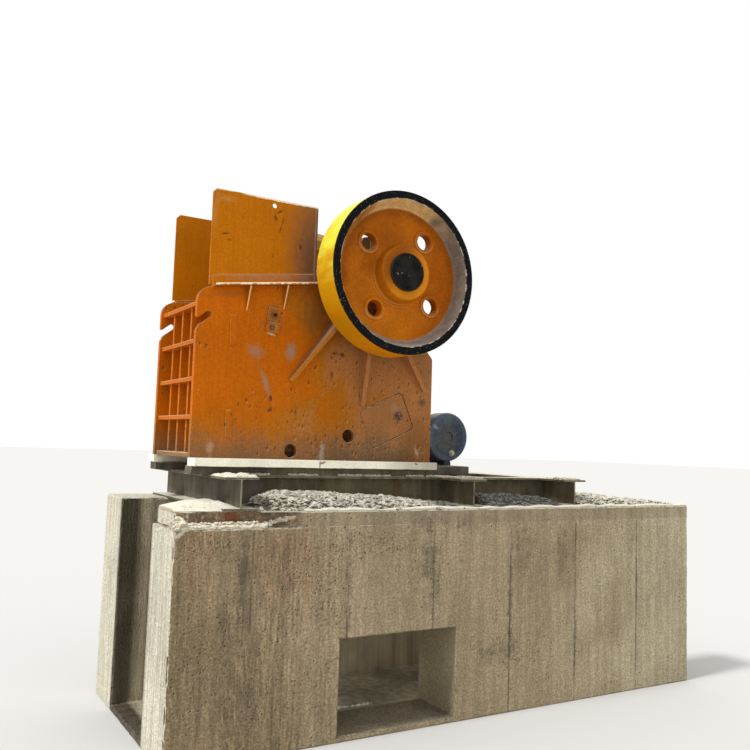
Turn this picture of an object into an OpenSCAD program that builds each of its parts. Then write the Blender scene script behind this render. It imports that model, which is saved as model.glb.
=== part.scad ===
// Jaw crusher with a single toggle, on a steel grillage over two concrete walls.
// X runs from the feed end to the motor, Y away from the near wheel, Z up from the ground.

/* [Plinth] */
// Length of the two walls
plinth_l = 5860; // [5600:10:6400]
// Width over both walls
plinth_w = 2200; // [2100:10:2400]
// Height of the walls up to the pour line
pier_h = 1780; // [1400:10:2200]
// Depth of the top pour
cap_h = 130; // [80:5:200]
// Thickness of each wall
pier_t = 600; // [500:10:700]
// Width of the opening through the near wall
window_w = 1205; // [800:5:1400]
// Height of the opening above the ground
window_h = 845; // [600:5:1100]
// Place of the opening along the wall
window_x = -857; // [-1000:1:-600]
// Thickness of the floor slab between the walls
slab_t = 50; // [30:5:100]
// How deep the near wall's top corner at the feed end is worn off
worn_corner = 50; // [30:5:70]
// Length of the stretch where the top pour is broken back
broken_l = 1070; // [900:10:1400]
// How far the broken stretch is set back
broken_d = 130; // [60:5:180]

/* [Grillage] */
// Height of the rolled beams
beam_h = 270; // [200:5:320]
// Width of the cross beams' flanges
beam_w = 300; // [220:5:340]
// Thickness of a beam's flanges
flange_t = 20; // [12:1:28]
// Thickness of a beam's web
web_t = 12; // [8:1:18]
// Distance from a wall's outer face to the cross beams' ends
beam_setback = 100; // [60:5:160]
// Place of the cross beam at the feed end
feed_beam_x = -2360; // [-2450:5:-2300]
// Place of the middle cross beam
middle_beam_x = -5; // [-60:5:60]
// Place of the cross beam at the motor end
motor_beam_x = 1302; // [1150:1:1450]
// Width of the long beams' flanges
long_beam_w = 200; // [150:5:240]
// Height of the packing rails
rail_h = 70; // [50:5:100]
// Width of the packing rails
rail_w = 160; // [120:5:180]

/* [Crusher frame] */
// Place of the eccentric shaft along X
shaft_x = -910; // [-960:5:-860]
// Height of the shaft above the frame's foot
shaft_h = 1720; // [1650:5:1800]
// Distance from the shaft to the feed end of the frame
feed_reach = 1750; // [1700:5:1800]
// Distance from the shaft to the rear end of the frame
rear_reach = 690; // [650:5:740]
// Width between the side plates
chamber_w = 1000; // [940:10:1040]
// Thickness of a side plate
plate_t = 50; // [35:1:60]
// Height of the foot bar
foot_h = 70; // [50:5:90]
// How far the foot bar stands out from the side plate
foot_out = 130; // [90:5:150]
// Height of the side plate at the feed end
front_h = 1460; // [1400:5:1500]
// Slope of the top edge
top_slope = 7.8; // [6:0.1:9]
// Height of the side plate at the rear end
rear_h = 1060; // [960:5:1100]
// Radius of the corner at the feed end
front_corner_r = 130; // [80:5:160]
// Radius of the corner at the rear end
rear_corner_r = 60; // [30:5:90]
// Thickness of the top flange
top_flange_t = 22; // [16:1:30]
// How far the top flange stands out
top_flange_out = 90; // [60:5:110]
// Thickness of the stiffening ribs
rib_t = 42; // [30:1:50]
// Depth of the ribs at the bearing seat
rib_d = 164; // [120:1:168]
// Distance below the seat over which the ribs keep that depth
rib_full = 210; // [150:5:260]
// Depth of the ribs at their feet
rib_foot_d = 20; // [8:1:30]
// Place of the front rib's head before the shaft
front_rib_head = 322; // [290:1:330]
// Place of the front rib's foot before the shaft
front_rib_foot = 857; // [800:1:900]
// Height of the front rib's foot
front_rib_h = 702; // [640:1:740]
// Place of the upright middle rib before the shaft
middle_rib_x = 102; // [60:1:140]
// Height of the middle rib's foot
middle_rib_h = 516; // [500:1:580]
// Place of the rear rib's head behind the shaft
rear_rib_head = 30; // [10:1:60]
// Place of the rear rib's foot behind the shaft
rear_rib_foot = 600; // [560:1:620]
// Height of the rear rib's foot
rear_rib_h = 695; // [640:1:740]
// Thickness of a gusset under the flange
gusset_t = 20; // [14:1:26]
// Length of a gusset down the side plate
gusset_l = 225; // [180:5:260]
// Distance from the feed end to the first gusset
gusset_1_x = 450; // [400:1:500]
// Distance from the feed end to the second gusset
gusset_2_x = 804; // [760:1:860]
// Radius of the two round holes at the foot
foot_hole_r = 61; // [40:1:65]
// Place of the front foot hole before the shaft
front_hole_x = 824; // [780:1:860]
// Height of the front foot hole
front_hole_h = 77; // [70:1:120]
// Place of the rear foot hole before the shaft
rear_hole_x = 240; // [225:1:260]
// Height of the rear foot hole
rear_hole_h = 230; // [200:1:260]
// Radius of the small hole beside the beam end
pin_hole_r = 20; // [12:1:26]
// Place of the small hole behind the shaft
pin_hole_x = 574; // [540:1:600]
// Height of the small hole
pin_hole_h = 582; // [560:1:620]
// Width of the slanted notch
notch_w = 54; // [40:1:64]
// Height of the slanted notch
notch_h = 1228; // [1180:1:1260]
// Distance from the feed end to the notch's round end
notch_l = 107; // [80:1:120]
// Slope of the notch
notch_slope = 38; // [30:1:45]
// Place of the toggle beam behind the shaft
toggle_beam_dx = 182; // [160:1:200]
// Height of the toggle beam's middle
toggle_beam_h = 396; // [380:1:420]
// Width of the tilted opening for the toggle beam's end
opening_w = 515; // [480:5:540]
// Height of the tilted opening
opening_h = 390; // [360:1:400]
// Tilt of the toggle beam and its opening
beam_tilt = 24.5; // [20:0.5:26]
// Clearance between the beam's end and its opening
beam_gap = 6; // [3:1:10]

/* [Jaws] */
// Depth of the ribbed front wall
front_wall_d = 260; // [220:5:300]
// Height of the ribbed front wall
front_wall_h = 1340; // [1300:5:1380]
// Thickness of a jaw plate with its teeth
jaw_t = 100; // [80:2:120]
// Height of the teeth
tooth_h = 34; // [20:1:45]
// Distance from tooth to tooth
tooth_pitch = 73; // [60:1:90]
// Height of the jaw plates
jaw_h = 1280; // [1220:5:1320]
// Opening between the jaws at the top
gape = 700; // [660:5:730]
// Opening between the jaws at the bottom
setting = 130; // [100:5:160]
// Height of the jaws' lower edge above the frame's foot
jaw_lift = 100; // [80:5:130]
// Thickness of the side liners
cheek_t = 45; // [30:1:55]
// Gap between a jaw plate and the side liners
jaw_gap = 8; // [5:1:12]

/* [Shaft and wheels] */
// Radius of the flywheels
wheel_r = 750; // [700:5:780]
// Width of the flywheels
wheel_w = 320; // [280:5:340]
// Width over both flywheels
wheel_span = 2200; // [2160:10:2260]
// Thickness of the rim at its face
rim_t = 70; // [55:1:85]
// Depth of the dish in front of the web
dish_d = 120; // [100:5:140]
// Thickness of the web
wheel_web_t = 76; // [60:1:90]
// Radius of the hub at its face
hub_r = 250; // [230:5:270]
// Radius of the holes in the web
web_hole_r = 75; // [60:1:85]
// Radius of the circle that the web holes lie on
web_hole_pcr = 427; // [400:1:450]
// Radius of the shaft in the bearings
shaft_r = 130; // [115:1:140]
// Radius of the eccentric part
ecc_r = 158; // [152:1:165]
// Throw of the eccentric part
throw_e = 20; // [12:1:22]
// Radius of the end cap
cap_r = 175; // [160:1:190]
// Thickness of the end cap
cap_t = 25; // [18:1:32]
// Radius of a bearing housing
housing_r = 230; // [215:1:240]
// How far a bearing housing reaches inside the frame
housing_in = 30; // [20:1:50]
// Length of the spacer ring between a bearing and its wheel
ring_l = 54; // [40:1:80]
// Clearance of the shaft in a bearing
bearing_gap = 0.1; // [0.05:0.01:0.1]

/* [Feed box] */
// Height of the feed box above the frame's foot
box_top_h = 2340; // [2200:1:2400]
// Length of the feed box
box_l = 1020; // [980:5:1040]
// Radius of the lifting holes in the feed box
lift_hole_r = 22; // [14:1:28]
// Distance from the box's feed end to its lifting holes
lift_hole_x = 581; // [500:1:620]
// Depth of the lifting holes below the box's top
lift_hole_drop = 60; // [40:1:80]
// Distance from the frame's feed end to the feed box
box_inset = 100; // [90:5:140]
// Thickness of the feed box plates
box_t = 16; // [12:1:20]
// Height of the doubler along the foot of the box
kerb_h = 80; // [60:5:140]
// Cut at the box's top corner at the feed end
box_corner = 35; // [20:5:60]

/* [Drive] */
// Distance from the shaft to the motor's axis along X
motor_dx = 1235; // [1215:1:1250]
// Height of the motor's axis over its base
motor_h = 280; // [270:1:290]
// Radius of the motor's body over the fins
motor_r = 255; // [240:1:262]
// Length of the motor's body with its cowl
motor_l = 850; // [800:10:860]
// Gap between the motor's end shield and its pulley
motor_gap = 57; // [30:1:80]
// Height of the motor's base block
motor_base_h = 95; // [80:5:110]
// Height of the slide rails on the block
slide_h = 30; // [24:1:40]
// Radius of the motor pulley
pulley_r = 215; // [190:1:230]
// Number of grooves
groove_n = 7; // [5:1:7]
// Distance from groove to groove
groove_pitch = 38; // [36:1:40]
// Clearance of the belt from the turning wheel
belt_gap = 6; // [5:0.5:8]

/* [Hidden] */
$fn = 64;
fit = 0.3;

// Levels
cap_z = pier_h + cap_h;
beam_z = cap_z + beam_h;
base_z = beam_z + rail_h + foot_h;
shaft_z = base_z + shaft_h;

// The frame's ends and faces
feed_x = shaft_x - feed_reach;
rear_x = shaft_x + rear_reach;
in_y = chamber_w / 2;
out_y = in_y + plate_t;

// The sloping top edge, as a height for a place along X
top_start_x = feed_x + front_corner_r * 0.7;
function top_z(x) = base_z + front_h + (x - top_start_x) * tan(top_slope);

// The bearing seat on the side plates
seat_half = 330;
seat_t = 60;
seat_top = shaft_z - housing_r;
seat_z = seat_top - seat_t;
seat_step = 40;

// Jaws: the faces of the fixed and the moving jaw
fixed_x = feed_x + front_wall_d + jaw_t;
jaw_z = base_z + jaw_lift;
jaw_tilt = atan((gape - setting) / jaw_h);
moving_x = fixed_x + setting;
jaw_slope_l = jaw_h / cos(jaw_tilt);
jaw_w = chamber_w - 2 * cheek_t - 2 * jaw_gap;
jaw_seat_t = 80;

// The tilted toggle beam, its seats and the toggle between them
beam_x = shaft_x + toggle_beam_dx;
beam_c_z = base_z + toggle_beam_h;
tog_w = opening_w - 2 * beam_gap;
tog_h = opening_h - 2 * beam_gap;
tog_seat_t = 40;
tog_plate_l = 420;
tog_plate_t = 60;
tog_plate_w = 780;
tog_seat_w = tog_plate_w + 40;
tog_seat_h = 140;
tog_up = 60;
tog_reach = tog_w / 2 + 2 * tog_seat_t + tog_plate_l;
// A point given along and across the toggle, from the beam's centre
function toggle_pt(x, y) = [beam_x + x * cos(beam_tilt) - y * sin(beam_tilt),
  beam_c_z + x * sin(beam_tilt) + y * cos(beam_tilt)];
toe_c = toggle_pt(-tog_reach, tog_up);
toe_over = 150;
toe_under = 75;

// The tension rod under the toggle
rod_r = 30;
rod_z = base_z + 52;
lug_x = toe_c[0] - 30;
lug_t = 70;
lug_w = 120;
lug_h = 130;
lug_drop = 45;
nut_t = 40;
nut_r = 48;
tie_x = rear_x - 130;
tie_t = 60;
tie_h = 190;
spring_l = 190;
spring_r = 62;
spring_wire_r = 13;
washer_t = 22;

// Wheels, and the bearings that fill the room between a side plate and a wheel
wheel_y = wheel_span / 2;
hub_recess = 20;
seal_t = 20;
seal_in = 12;
ring_gap = 6;
ring_r = shaft_r + 36;
ring_y = wheel_y - wheel_w + hub_recess - ring_l;
bearing_out = ring_y - ring_gap - seal_t - out_y;
housing_w = bearing_out + plate_t + housing_in;

// Grooves, pulley and motor; the motor follows the wheel that it drives
groove_z0 = wheel_w / 2 - (groove_n - 1) * groove_pitch / 2;
pulley_w = groove_n * groove_pitch;
pulley_y1 = wheel_y - groove_z0 + groove_pitch / 2;
motor_y1 = pulley_y1 - pulley_w - motor_gap;
motor_y = motor_y1 - motor_l;
motor_x = shaft_x + motor_dx;
motor_base_top = beam_z + motor_base_h;
motor_z = motor_base_top + slide_h + motor_h;
pulley_y = wheel_y - wheel_w / 2;
belt_angle = atan2(motor_z - shaft_z, motor_dx);
belt_d = sqrt(pow(motor_z - shaft_z, 2) + pow(motor_dx, 2));
band_t = 8;
rib_top_w = groove_pitch - 16;
rib_low_w = rib_top_w - 9;
rib_depth = 15;
belt_w = groove_n * groove_pitch - 10;
bearer_dx = 125;
bearer_w = 90;
overlap = 1;
lap = 2;

function arc(cx, cy, r, a0, a1, n = 8) =
  [for (i = [0:n]) [cx + r * cos(a0 + (a1 - a0) * i / n), cy + r * sin(a0 + (a1 - a0) * i / n)]];

// A profile drawn in X and Z, given a thickness from y0 towards +Y
module wall_xz(y0, t) {
  translate([0, y0 + t, 0]) rotate([90, 0, 0]) linear_extrude(t) children();
}

// The same piece on the far side
module far_side() { mirror([0, 1, 0]) children(); }

// A round piece along Y from y0 to y1
module bar_y(x, z, r, y0, y1) {
  translate([x, y0, z]) rotate([-90, 0, 0]) cylinder(r = r, h = y1 - y0);
}

// Concrete walls, each cast with its half of the floor slab, and their top pour
worn_lean = 55;
module pier() {
  translate([-plinth_l / 2, -plinth_w / 2, 0]) {
    cube([plinth_l, pier_t, pier_h]);
    cube([plinth_l, plinth_w / 2, slab_t]);
  }
}
module near_pier() {
  color("#9a8d76") difference() {
    pier();
    translate([window_x - window_w / 2, -plinth_w / 2 - overlap, slab_t])
      cube([window_w, pier_t + 2 * overlap, window_h - slab_t]);
    translate([-plinth_l / 2, -plinth_w / 2, pier_h]) rotate([0, worn_lean, 180 + 45])
      translate([-4 * worn_corner, -4 * worn_corner, -worn_corner]) cube(8 * worn_corner);
  }
}
module far_pier() { color("#9a8d76") far_side() pier(); }
module near_cap() {
  x0 = -plinth_l / 2;
  x1 = x0 + broken_l;
  y0 = -plinth_w / 2;
  step = broken_l / 8;
  jag = [1, 0.8, 1.12, 0.9, 1.15, 0.95, 0.6, 0.35, 0];
  color("#a59880") translate([0, 0, pier_h]) linear_extrude(cap_h)
    polygon(concat([[x0 + 0.3 * broken_d, y0 + pier_t]],
      [for (i = [0:8]) [x0 + max(i * step, 0.3 * broken_d), y0 + broken_d * jag[i]]],
      [[plinth_l / 2, y0], [plinth_l / 2, y0 + pier_t]]));
}
module far_cap() {
  color("#a59880") translate([-plinth_l / 2, plinth_w / 2 - pier_t, pier_h]) cube([plinth_l, pier_t, cap_h]);
}

// Rolled beams
module i_section(w) {
  for (s = [0, beam_h - flange_t]) translate([-w / 2, s]) square([w, flange_t]);
  translate([-web_t / 2, 0]) square([web_t, beam_h]);
}
module cross_beam(x) {
  half = plinth_w / 2 - beam_setback;
  color("#4b4334") translate([x, half, cap_z]) rotate([90, 0, 0]) linear_extrude(2 * half) i_section(beam_w);
}
module cross_beam_feed() { cross_beam(feed_beam_x); }
module cross_beam_middle() { cross_beam(middle_beam_x); }
module cross_beam_motor() { cross_beam(motor_beam_x); }
// A beam coped between two cross beams
module coped_beam(x0, x1) {
  y = (in_y + out_y) / 2;
  for (s = [0, beam_h - flange_t]) {
    translate([x0 + beam_w / 2, -y - long_beam_w / 2, cap_z + s])
      cube([x1 - x0 - beam_w, long_beam_w, flange_t]);
  }
  translate([x0 + web_t / 2, -y - web_t / 2, cap_z + flange_t])
    cube([x1 - x0 - web_t, web_t, beam_h - 2 * flange_t]);
}
module long_beams() {
  color("#4f4636") {
    coped_beam(feed_beam_x, middle_beam_x);
    coped_beam(middle_beam_x, motor_beam_x);
  }
}
// Two joists between the long beams, under the motor's base
module motor_bearers() {
  y = (in_y + out_y) / 2 - web_t / 2;
  inner = (in_y + out_y) / 2 - long_beam_w / 2;
  color("#4b4334") for (s = [-1, 1]) {
    translate([motor_x + s * bearer_dx - bearer_w / 2, -inner, cap_z]) {
      cube([bearer_w, 2 * inner, flange_t]);
      translate([0, 0, beam_h - flange_t]) cube([bearer_w, 2 * inner, flange_t]);
    }
    translate([motor_x + s * bearer_dx - web_t / 2, -y, cap_z + flange_t])
      cube([web_t, 2 * y, beam_h - 2 * flange_t]);
  }
}
module near_long_beams() { long_beams(); }
module far_long_beams() { far_side() long_beams(); }
module rail() {
  color("#6b6252") translate([feed_x, -out_y - rail_w / 2 + plate_t / 2, beam_z])
    cube([rear_x - feed_x, rail_w, rail_h]);
}
module near_rail() { rail(); }
module far_rail() { far_side() rail(); }

// Crusher frame
module foot() {
  color("#cbbf9f") translate([feed_x, -out_y - foot_out, base_z - foot_h])
    cube([rear_x - feed_x, foot_out + plate_t, foot_h]);
}
module near_foot() { foot(); }
module far_foot() { far_side() foot(); }

// The tilted rounded opening in which the toggle beam's end shows
module tilted_rect(w, h, r) {
  translate([beam_x, beam_c_z]) rotate(beam_tilt)
    polygon(concat(arc(w / 2 - r, h / 2 - r, r, 0, 90), arc(r - w / 2, h / 2 - r, r, 90, 180),
      arc(r - w / 2, r - h / 2, r, 180, 270), arc(w / 2 - r, r - h / 2, r, 270, 360)));
}
opening_r = 48;
notch_z = base_z + notch_h;
bite_low = 155;
bite_mid = 62;
bite_top = 28;
bite_d = 42;
module notch() {
  translate([feed_x + notch_l, notch_z]) rotate(notch_slope) {
    circle(d = notch_w);
    translate([-2 * notch_l, -notch_w / 2]) square([2 * notch_l, notch_w]);
  }
  polygon([[feed_x - overlap, notch_z - bite_low], [feed_x + bite_d, notch_z - bite_mid],
    [feed_x - overlap, notch_z - bite_top]]);
}
module side_profile() {
  fr = front_corner_r;
  rr = rear_corner_r;
  difference() {
    polygon(concat([[feed_x, base_z], [rear_x, base_z]],
      arc(rear_x - rr, base_z + rear_h - rr, rr, 0, 50),
      [[shaft_x + seat_half, seat_z], [shaft_x - seat_half, seat_z],
       [shaft_x - seat_half - seat_step, top_z(shaft_x - seat_half - seat_step)]],
      arc(feed_x + fr, top_z(feed_x + fr) - fr, fr, 90, 180)));
    notch();
    tilted_rect(opening_w, opening_h, opening_r);
    translate([shaft_x - front_hole_x, base_z + front_hole_h]) circle(r = foot_hole_r);
    translate([shaft_x - rear_hole_x, base_z + rear_hole_h]) circle(r = foot_hole_r);
    translate([shaft_x + pin_hole_x, base_z + pin_hole_h]) circle(r = pin_hole_r);
  }
}
module side_plate() { color("#b86a08") wall_xz(-out_y, plate_t) side_profile(); }
module near_side_plate() { side_plate(); }
module far_side_plate() { far_side() side_plate(); }

// A rib on the side plate, from its head under the seat to its foot, tapering in depth
rib_lap = 30;
module rib(head_x, foot_x, foot_h) {
  rise = base_z + foot_h - seat_z;
  l = norm([foot_x - head_x, rise]);
  translate([shaft_x + head_x, -out_y, seat_z]) rotate([0, -atan2(rise, foot_x - head_x), 0])
    translate([0, 0, -rib_t / 2]) linear_extrude(rib_t)
      polygon([[-rib_lap, 0], [l, 0], [l, -rib_foot_d], [-rib_full * l / rise, -rib_d], [-rib_lap, -rib_d]]);
}
module ribs() {
  color("#b86a08") {
    difference() {
      union() {
        rib(-front_rib_head, -front_rib_foot, front_rib_h);
        rib(-middle_rib_x, -middle_rib_x, middle_rib_h);
        rib(rear_rib_head, rear_rib_foot, rear_rib_h);
      }
      translate([shaft_x - 2 * seat_half, -out_y - 2 * rib_d, seat_z])
        cube([4 * seat_half, 3 * rib_d, 2 * rib_lap]);
    }
    translate([shaft_x - seat_half, -out_y - bearing_out, seat_z]) cube([2 * seat_half, housing_w, seat_t]);
  }
}
module near_ribs() { ribs(); }
module far_ribs() { far_side() ribs(); }

// Top flange on the sloping edge, with gussets below it
gusset_out = top_flange_out - 8;
gusset_tip = 20;
module gusset(x) {
  translate([x - gusset_t / 2, -out_y, top_z(x)]) rotate([90, 0, 90]) linear_extrude(gusset_t)
    polygon([[0, 0], [-gusset_out, 0], [-gusset_out, -gusset_tip], [0, -gusset_l]]);
}
module top_flange() {
  x0 = feed_x + front_corner_r;
  x1 = shaft_x - seat_half - seat_step;
  color("#d8912a") {
    wall_xz(-out_y - top_flange_out, top_flange_out + plate_t)
      polygon([[x0, top_z(x0)], [x1, top_z(x1)],
        [x1, top_z(x1) + top_flange_t], [x0, top_z(x0) + top_flange_t]]);
    difference() {
      union() {
        gusset(feed_x + gusset_1_x);
        gusset(feed_x + gusset_2_x);
      }
      wall_xz(-out_y - 2 * top_flange_out, 3 * top_flange_out)
        polygon([[x0, top_z(x0)], [x1, top_z(x1)], [x1, top_z(x1) + gusset_l], [x0, top_z(x0) + gusset_l]]);
    }
  }
}
module near_top_flange() { top_flange(); }
module far_top_flange() { far_side() top_flange(); }

// Ribbed wall that backs the fixed jaw
module front_wall() {
  back_t = 70;
  rib_n = 5;
  rib_w = 36;
  across_in = 20;
  upright_in = 50;
  color("#a86208") {
    translate([feed_x + front_wall_d - back_t, -in_y, base_z]) cube([back_t, chamber_w, front_wall_h]);
    for (i = [0:rib_n - 1]) {
      translate([feed_x + across_in, -in_y, base_z + i * (front_wall_h - rib_w) / (rib_n - 1)])
        cube([front_wall_d - back_t - across_in, chamber_w, rib_w]);
    }
    for (y = [-in_y / 2, 0, in_y / 2]) {
      translate([feed_x + upright_in, y - rib_w / 2, base_z])
        cube([front_wall_d - back_t - upright_in, rib_w, front_wall_h]);
    }
  }
}

// Box beam across the rear that carries the toggle, with its seat
module toggle_beam() {
  wall = 55;
  end_in = 6;
  disc_t = 40;
  disc_in = 10;
  y0 = -out_y + end_in;
  color("#a86208") {
    wall_xz(y0, -2 * y0) difference() {
      tilted_rect(tog_w, tog_h, opening_r - beam_gap);
      tilted_rect(tog_w - 2 * wall, tog_h - 2 * wall, opening_r / 2);
    }
    for (y = [y0, -disc_t / 2, -y0 - disc_t]) {
      wall_xz(y, disc_t) tilted_rect(tog_w - 2 * wall + disc_in, tog_h - 2 * wall + disc_in, opening_r / 2);
    }
    toggle_seat(-tog_w / 2 - tog_seat_t);
  }
}
module toggle_seat(x) {
  wall_xz(-tog_seat_w / 2, tog_seat_w) translate([beam_x, beam_c_z]) rotate(beam_tilt)
    translate([x, tog_up - tog_seat_h / 2]) square([tog_seat_t, tog_seat_h]);
}
module toggle_plate() {
  color("#5e4a36") wall_xz(-tog_plate_w / 2, tog_plate_w)
    translate([beam_x, beam_c_z]) rotate(beam_tilt)
      translate([-tog_w / 2 - tog_seat_t - tog_plate_l, tog_up - tog_plate_t / 2])
        square([tog_plate_l, tog_plate_t]);
}
module rear_tie() {
  color("#a86208") difference() {
    translate([tie_x, -in_y, base_z]) cube([tie_t, chamber_w, tie_h]);
    on_rod(tie_x - overlap, rod_r + fit, tie_t + 2 * overlap);
  }
}

// A toothed plate standing on z = 0 with its back at x = 0 and its teeth towards +X
module jaw_plate(h) {
  n = floor(jaw_w / tooth_pitch);
  y0 = -n * tooth_pitch / 2;
  root = jaw_t - tooth_h;
  linear_extrude(h) polygon(concat([[0, -jaw_w / 2], [root, -jaw_w / 2]],
    [for (i = [0:n - 1], k = [[0, 0.08], [1, 0.38], [1, 0.62], [0, 0.92]])
      [root + k[0] * tooth_h, y0 + (i + k[1]) * tooth_pitch]],
    [[root, jaw_w / 2], [0, jaw_w / 2]]));
}
module fixed_jaw_plate() {
  color("#6d655c") translate([fixed_x - jaw_t, 0, jaw_z]) jaw_plate(jaw_h);
}
module moving_frame() { translate([moving_x, 0, jaw_z]) rotate([0, jaw_tilt, 0]) children(); }
module moving_jaw_plate() {
  color("#6d655c") moving_frame() translate([jaw_t, 0, 0]) mirror([1, 0, 0]) jaw_plate(jaw_slope_l);
}

// Side liners between the jaws
cheek_over = 60;
module cheek() {
  color("#7a5a34") wall_xz(-in_y, cheek_t)
    polygon([[fixed_x - jaw_t, jaw_z], [moving_x + jaw_t, jaw_z],
      [fixed_x + gape + cheek_over, jaw_z + jaw_h], [fixed_x - jaw_t, jaw_z + jaw_h]]);
}
module near_cheek_plate() { cheek(); }
module far_cheek_plate() { far_side() cheek(); }

// Swing jaw: barrel round the shaft, front plate, webs, and a toe with the toggle's seat
pitman_w = chamber_w - 140;
barrel_r = 300;
barrel_wall = 60;
barrel_gap = 7;
barrel_bore_r = ecc_r + throw_e + barrel_gap;
web_n = 4;
pitman_web_t = 50;
jaw_over = 40;
toe_h = 330;
web_back = [shaft_x + 230, shaft_z - 190];
module front_strip(t) {
  translate([moving_x, jaw_z]) rotate(-jaw_tilt) translate([jaw_t, 0]) square([t, jaw_slope_l + jaw_over]);
}
function along_jaw(s, d) = [moving_x + s * sin(jaw_tilt) + d * cos(jaw_tilt),
  jaw_z + s * cos(jaw_tilt) - d * sin(jaw_tilt)];
guard_t = 30;
guard_top = [shaft_x - 150, shaft_z + 255];
guard_foot = along_jaw(jaw_slope_l + jaw_over, jaw_t + lap);
toe_low = toggle_pt(-tog_reach, tog_up - toe_under);
module pitman_profile() {
  difference() {
    union() {
      translate([shaft_x, shaft_z]) circle(r = barrel_r);
      polygon([along_jaw(0, jaw_t + lap), guard_foot, guard_top, web_back,
        toggle_pt(-tog_reach, tog_up + toe_over), toggle_pt(-tog_reach, tog_up - toe_under)]);
    }
    translate([shaft_x, shaft_z]) circle(r = barrel_r - barrel_wall);
  }
}
module pitman() {
  nut_room = nut_t + 8;
  color("#b06a10") difference() {
    union() {
      bar_y(shaft_x, shaft_z, barrel_r, -pitman_w / 2, pitman_w / 2);
      wall_xz(-pitman_w / 2, pitman_w) front_strip(jaw_seat_t);
      wall_xz(-pitman_w / 2, pitman_w)
        polygon([guard_foot, guard_top, guard_top + [guard_t, -guard_t], guard_foot + [guard_t + 10, -10]]);
      wall_xz(-tog_plate_w / 2, tog_plate_w)
        polygon([along_jaw(0, jaw_t + lap), along_jaw(toe_h, jaw_t + lap),
          toggle_pt(-tog_reach + lap, tog_up + toe_over), toggle_pt(-tog_reach + lap, tog_up - toe_under),
          toggle_pt(-tog_reach - 60, tog_up - 110)]);
      toggle_seat(-tog_reach);
      for (i = [0:web_n - 1]) {
        wall_xz(-pitman_w / 2 + i * (pitman_w - pitman_web_t) / (web_n - 1), pitman_web_t) pitman_profile();
      }
      translate([lug_x - lug_t, -lug_w / 2, rod_z - lug_drop]) cube([lug_t, lug_w, lug_h]);
    }
    bar_y(shaft_x, shaft_z, barrel_bore_r, -pitman_w / 2 - overlap, pitman_w / 2 + overlap);
    translate([lug_x - lug_t - nut_room, -lug_w / 2 - 10, rod_z - nut_r - 4])
      cube([nut_room, lug_w + 20, 2 * nut_r + 8]);
    on_rod(lug_x - lug_t - overlap, rod_r + fit, toe_low[0] + lug_t - lug_x + tog_seat_t);
  }
}

// Rod and spring that keep the toggle seated
spring_x = tie_x + tie_t;
// A round piece along X that starts at x on the rod's axis
module on_rod(x, r, h, sides = 64) {
  translate([x, 0, rod_z]) rotate([0, 90, 0]) cylinder(r = r, h = h, $fn = sides);
}
module tension_rod() {
  thread_end = 20;
  head_x = lug_x - lug_t - nut_t;
  washer_x = spring_x + spring_l;
  color("#6a6a66") {
    on_rod(head_x, rod_r, washer_x + washer_t + nut_t + thread_end - head_x);
    on_rod(head_x, nut_r, nut_t, 6);
    on_rod(washer_x, spring_r + 18, washer_t);
    on_rod(washer_x + washer_t, nut_r, nut_t, 6);
  }
}
spring_turns = 5;
spring_steps = 18;
spring_sides = 8;
function spring_ring(i) = let (a = 360 * i / spring_steps, w = spring_wire_r)
  [for (k = [0:spring_sides - 1]) let (b = 360 * k / spring_sides, r = spring_r + w * cos(b))
    [w + fit + (spring_l - 2 * w - 2 * fit) * i / (spring_turns * spring_steps) + w * sin(b),
     r * cos(a), r * sin(a)]];
module tension_spring() {
  n = spring_turns * spring_steps;
  m = spring_sides;
  pts = [for (i = [0:n]) each spring_ring(i)];
  sides = [for (i = [0:n - 1], k = [0:m - 1])
    [i * m + k, i * m + (k + 1) % m, (i + 1) * m + (k + 1) % m, (i + 1) * m + k]];
  ends = [[for (k = [0:m - 1]) m - 1 - k], [for (k = [0:m - 1]) n * m + k]];
  color("#8a8f94") translate([spring_x, 0, rod_z]) polyhedron(points = pts, faces = concat(sides, ends));
}

// Feed box plates on the top flanges
box_x0 = feed_x + box_inset;
box_x1 = box_x0 + box_l;
box_top = base_z + box_top_h;
module feed_side() {
  f = top_flange_t;
  color("#b86a08") difference() {
    union() {
      wall_xz(-in_y - 2 * box_t, box_t)
        polygon([[box_x0, top_z(max(box_x0, feed_x + front_corner_r)) + f], [box_x1, top_z(box_x1) + f],
          [box_x1, box_top], [box_x0 + box_corner, box_top], [box_x0, box_top - box_corner]]);
      wall_xz(-in_y - 3 * box_t, box_t)
        polygon([[feed_x + front_corner_r, top_z(feed_x + front_corner_r) + f], [box_x1, top_z(box_x1) + f],
          [box_x1, top_z(box_x1) + f + kerb_h],
          [feed_x + front_corner_r, top_z(feed_x + front_corner_r) + f + kerb_h]]);
    }
    wall_xz(-in_y - 4 * box_t, 5 * box_t)
      translate([box_x0 + lift_hole_x, box_top - lift_hole_drop]) circle(r = lift_hole_r);
  }
}
module near_feed_plate() { feed_side(); }
module far_feed_plate() { far_side() feed_side(); }
module rear_feed_plate() {
  z0 = top_z(box_x1) + top_flange_t;
  color("#b86a08") translate([box_x1 - box_t, -in_y - box_t, z0])
    cube([box_t, chamber_w + 2 * box_t, box_top - z0]);
}

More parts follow.
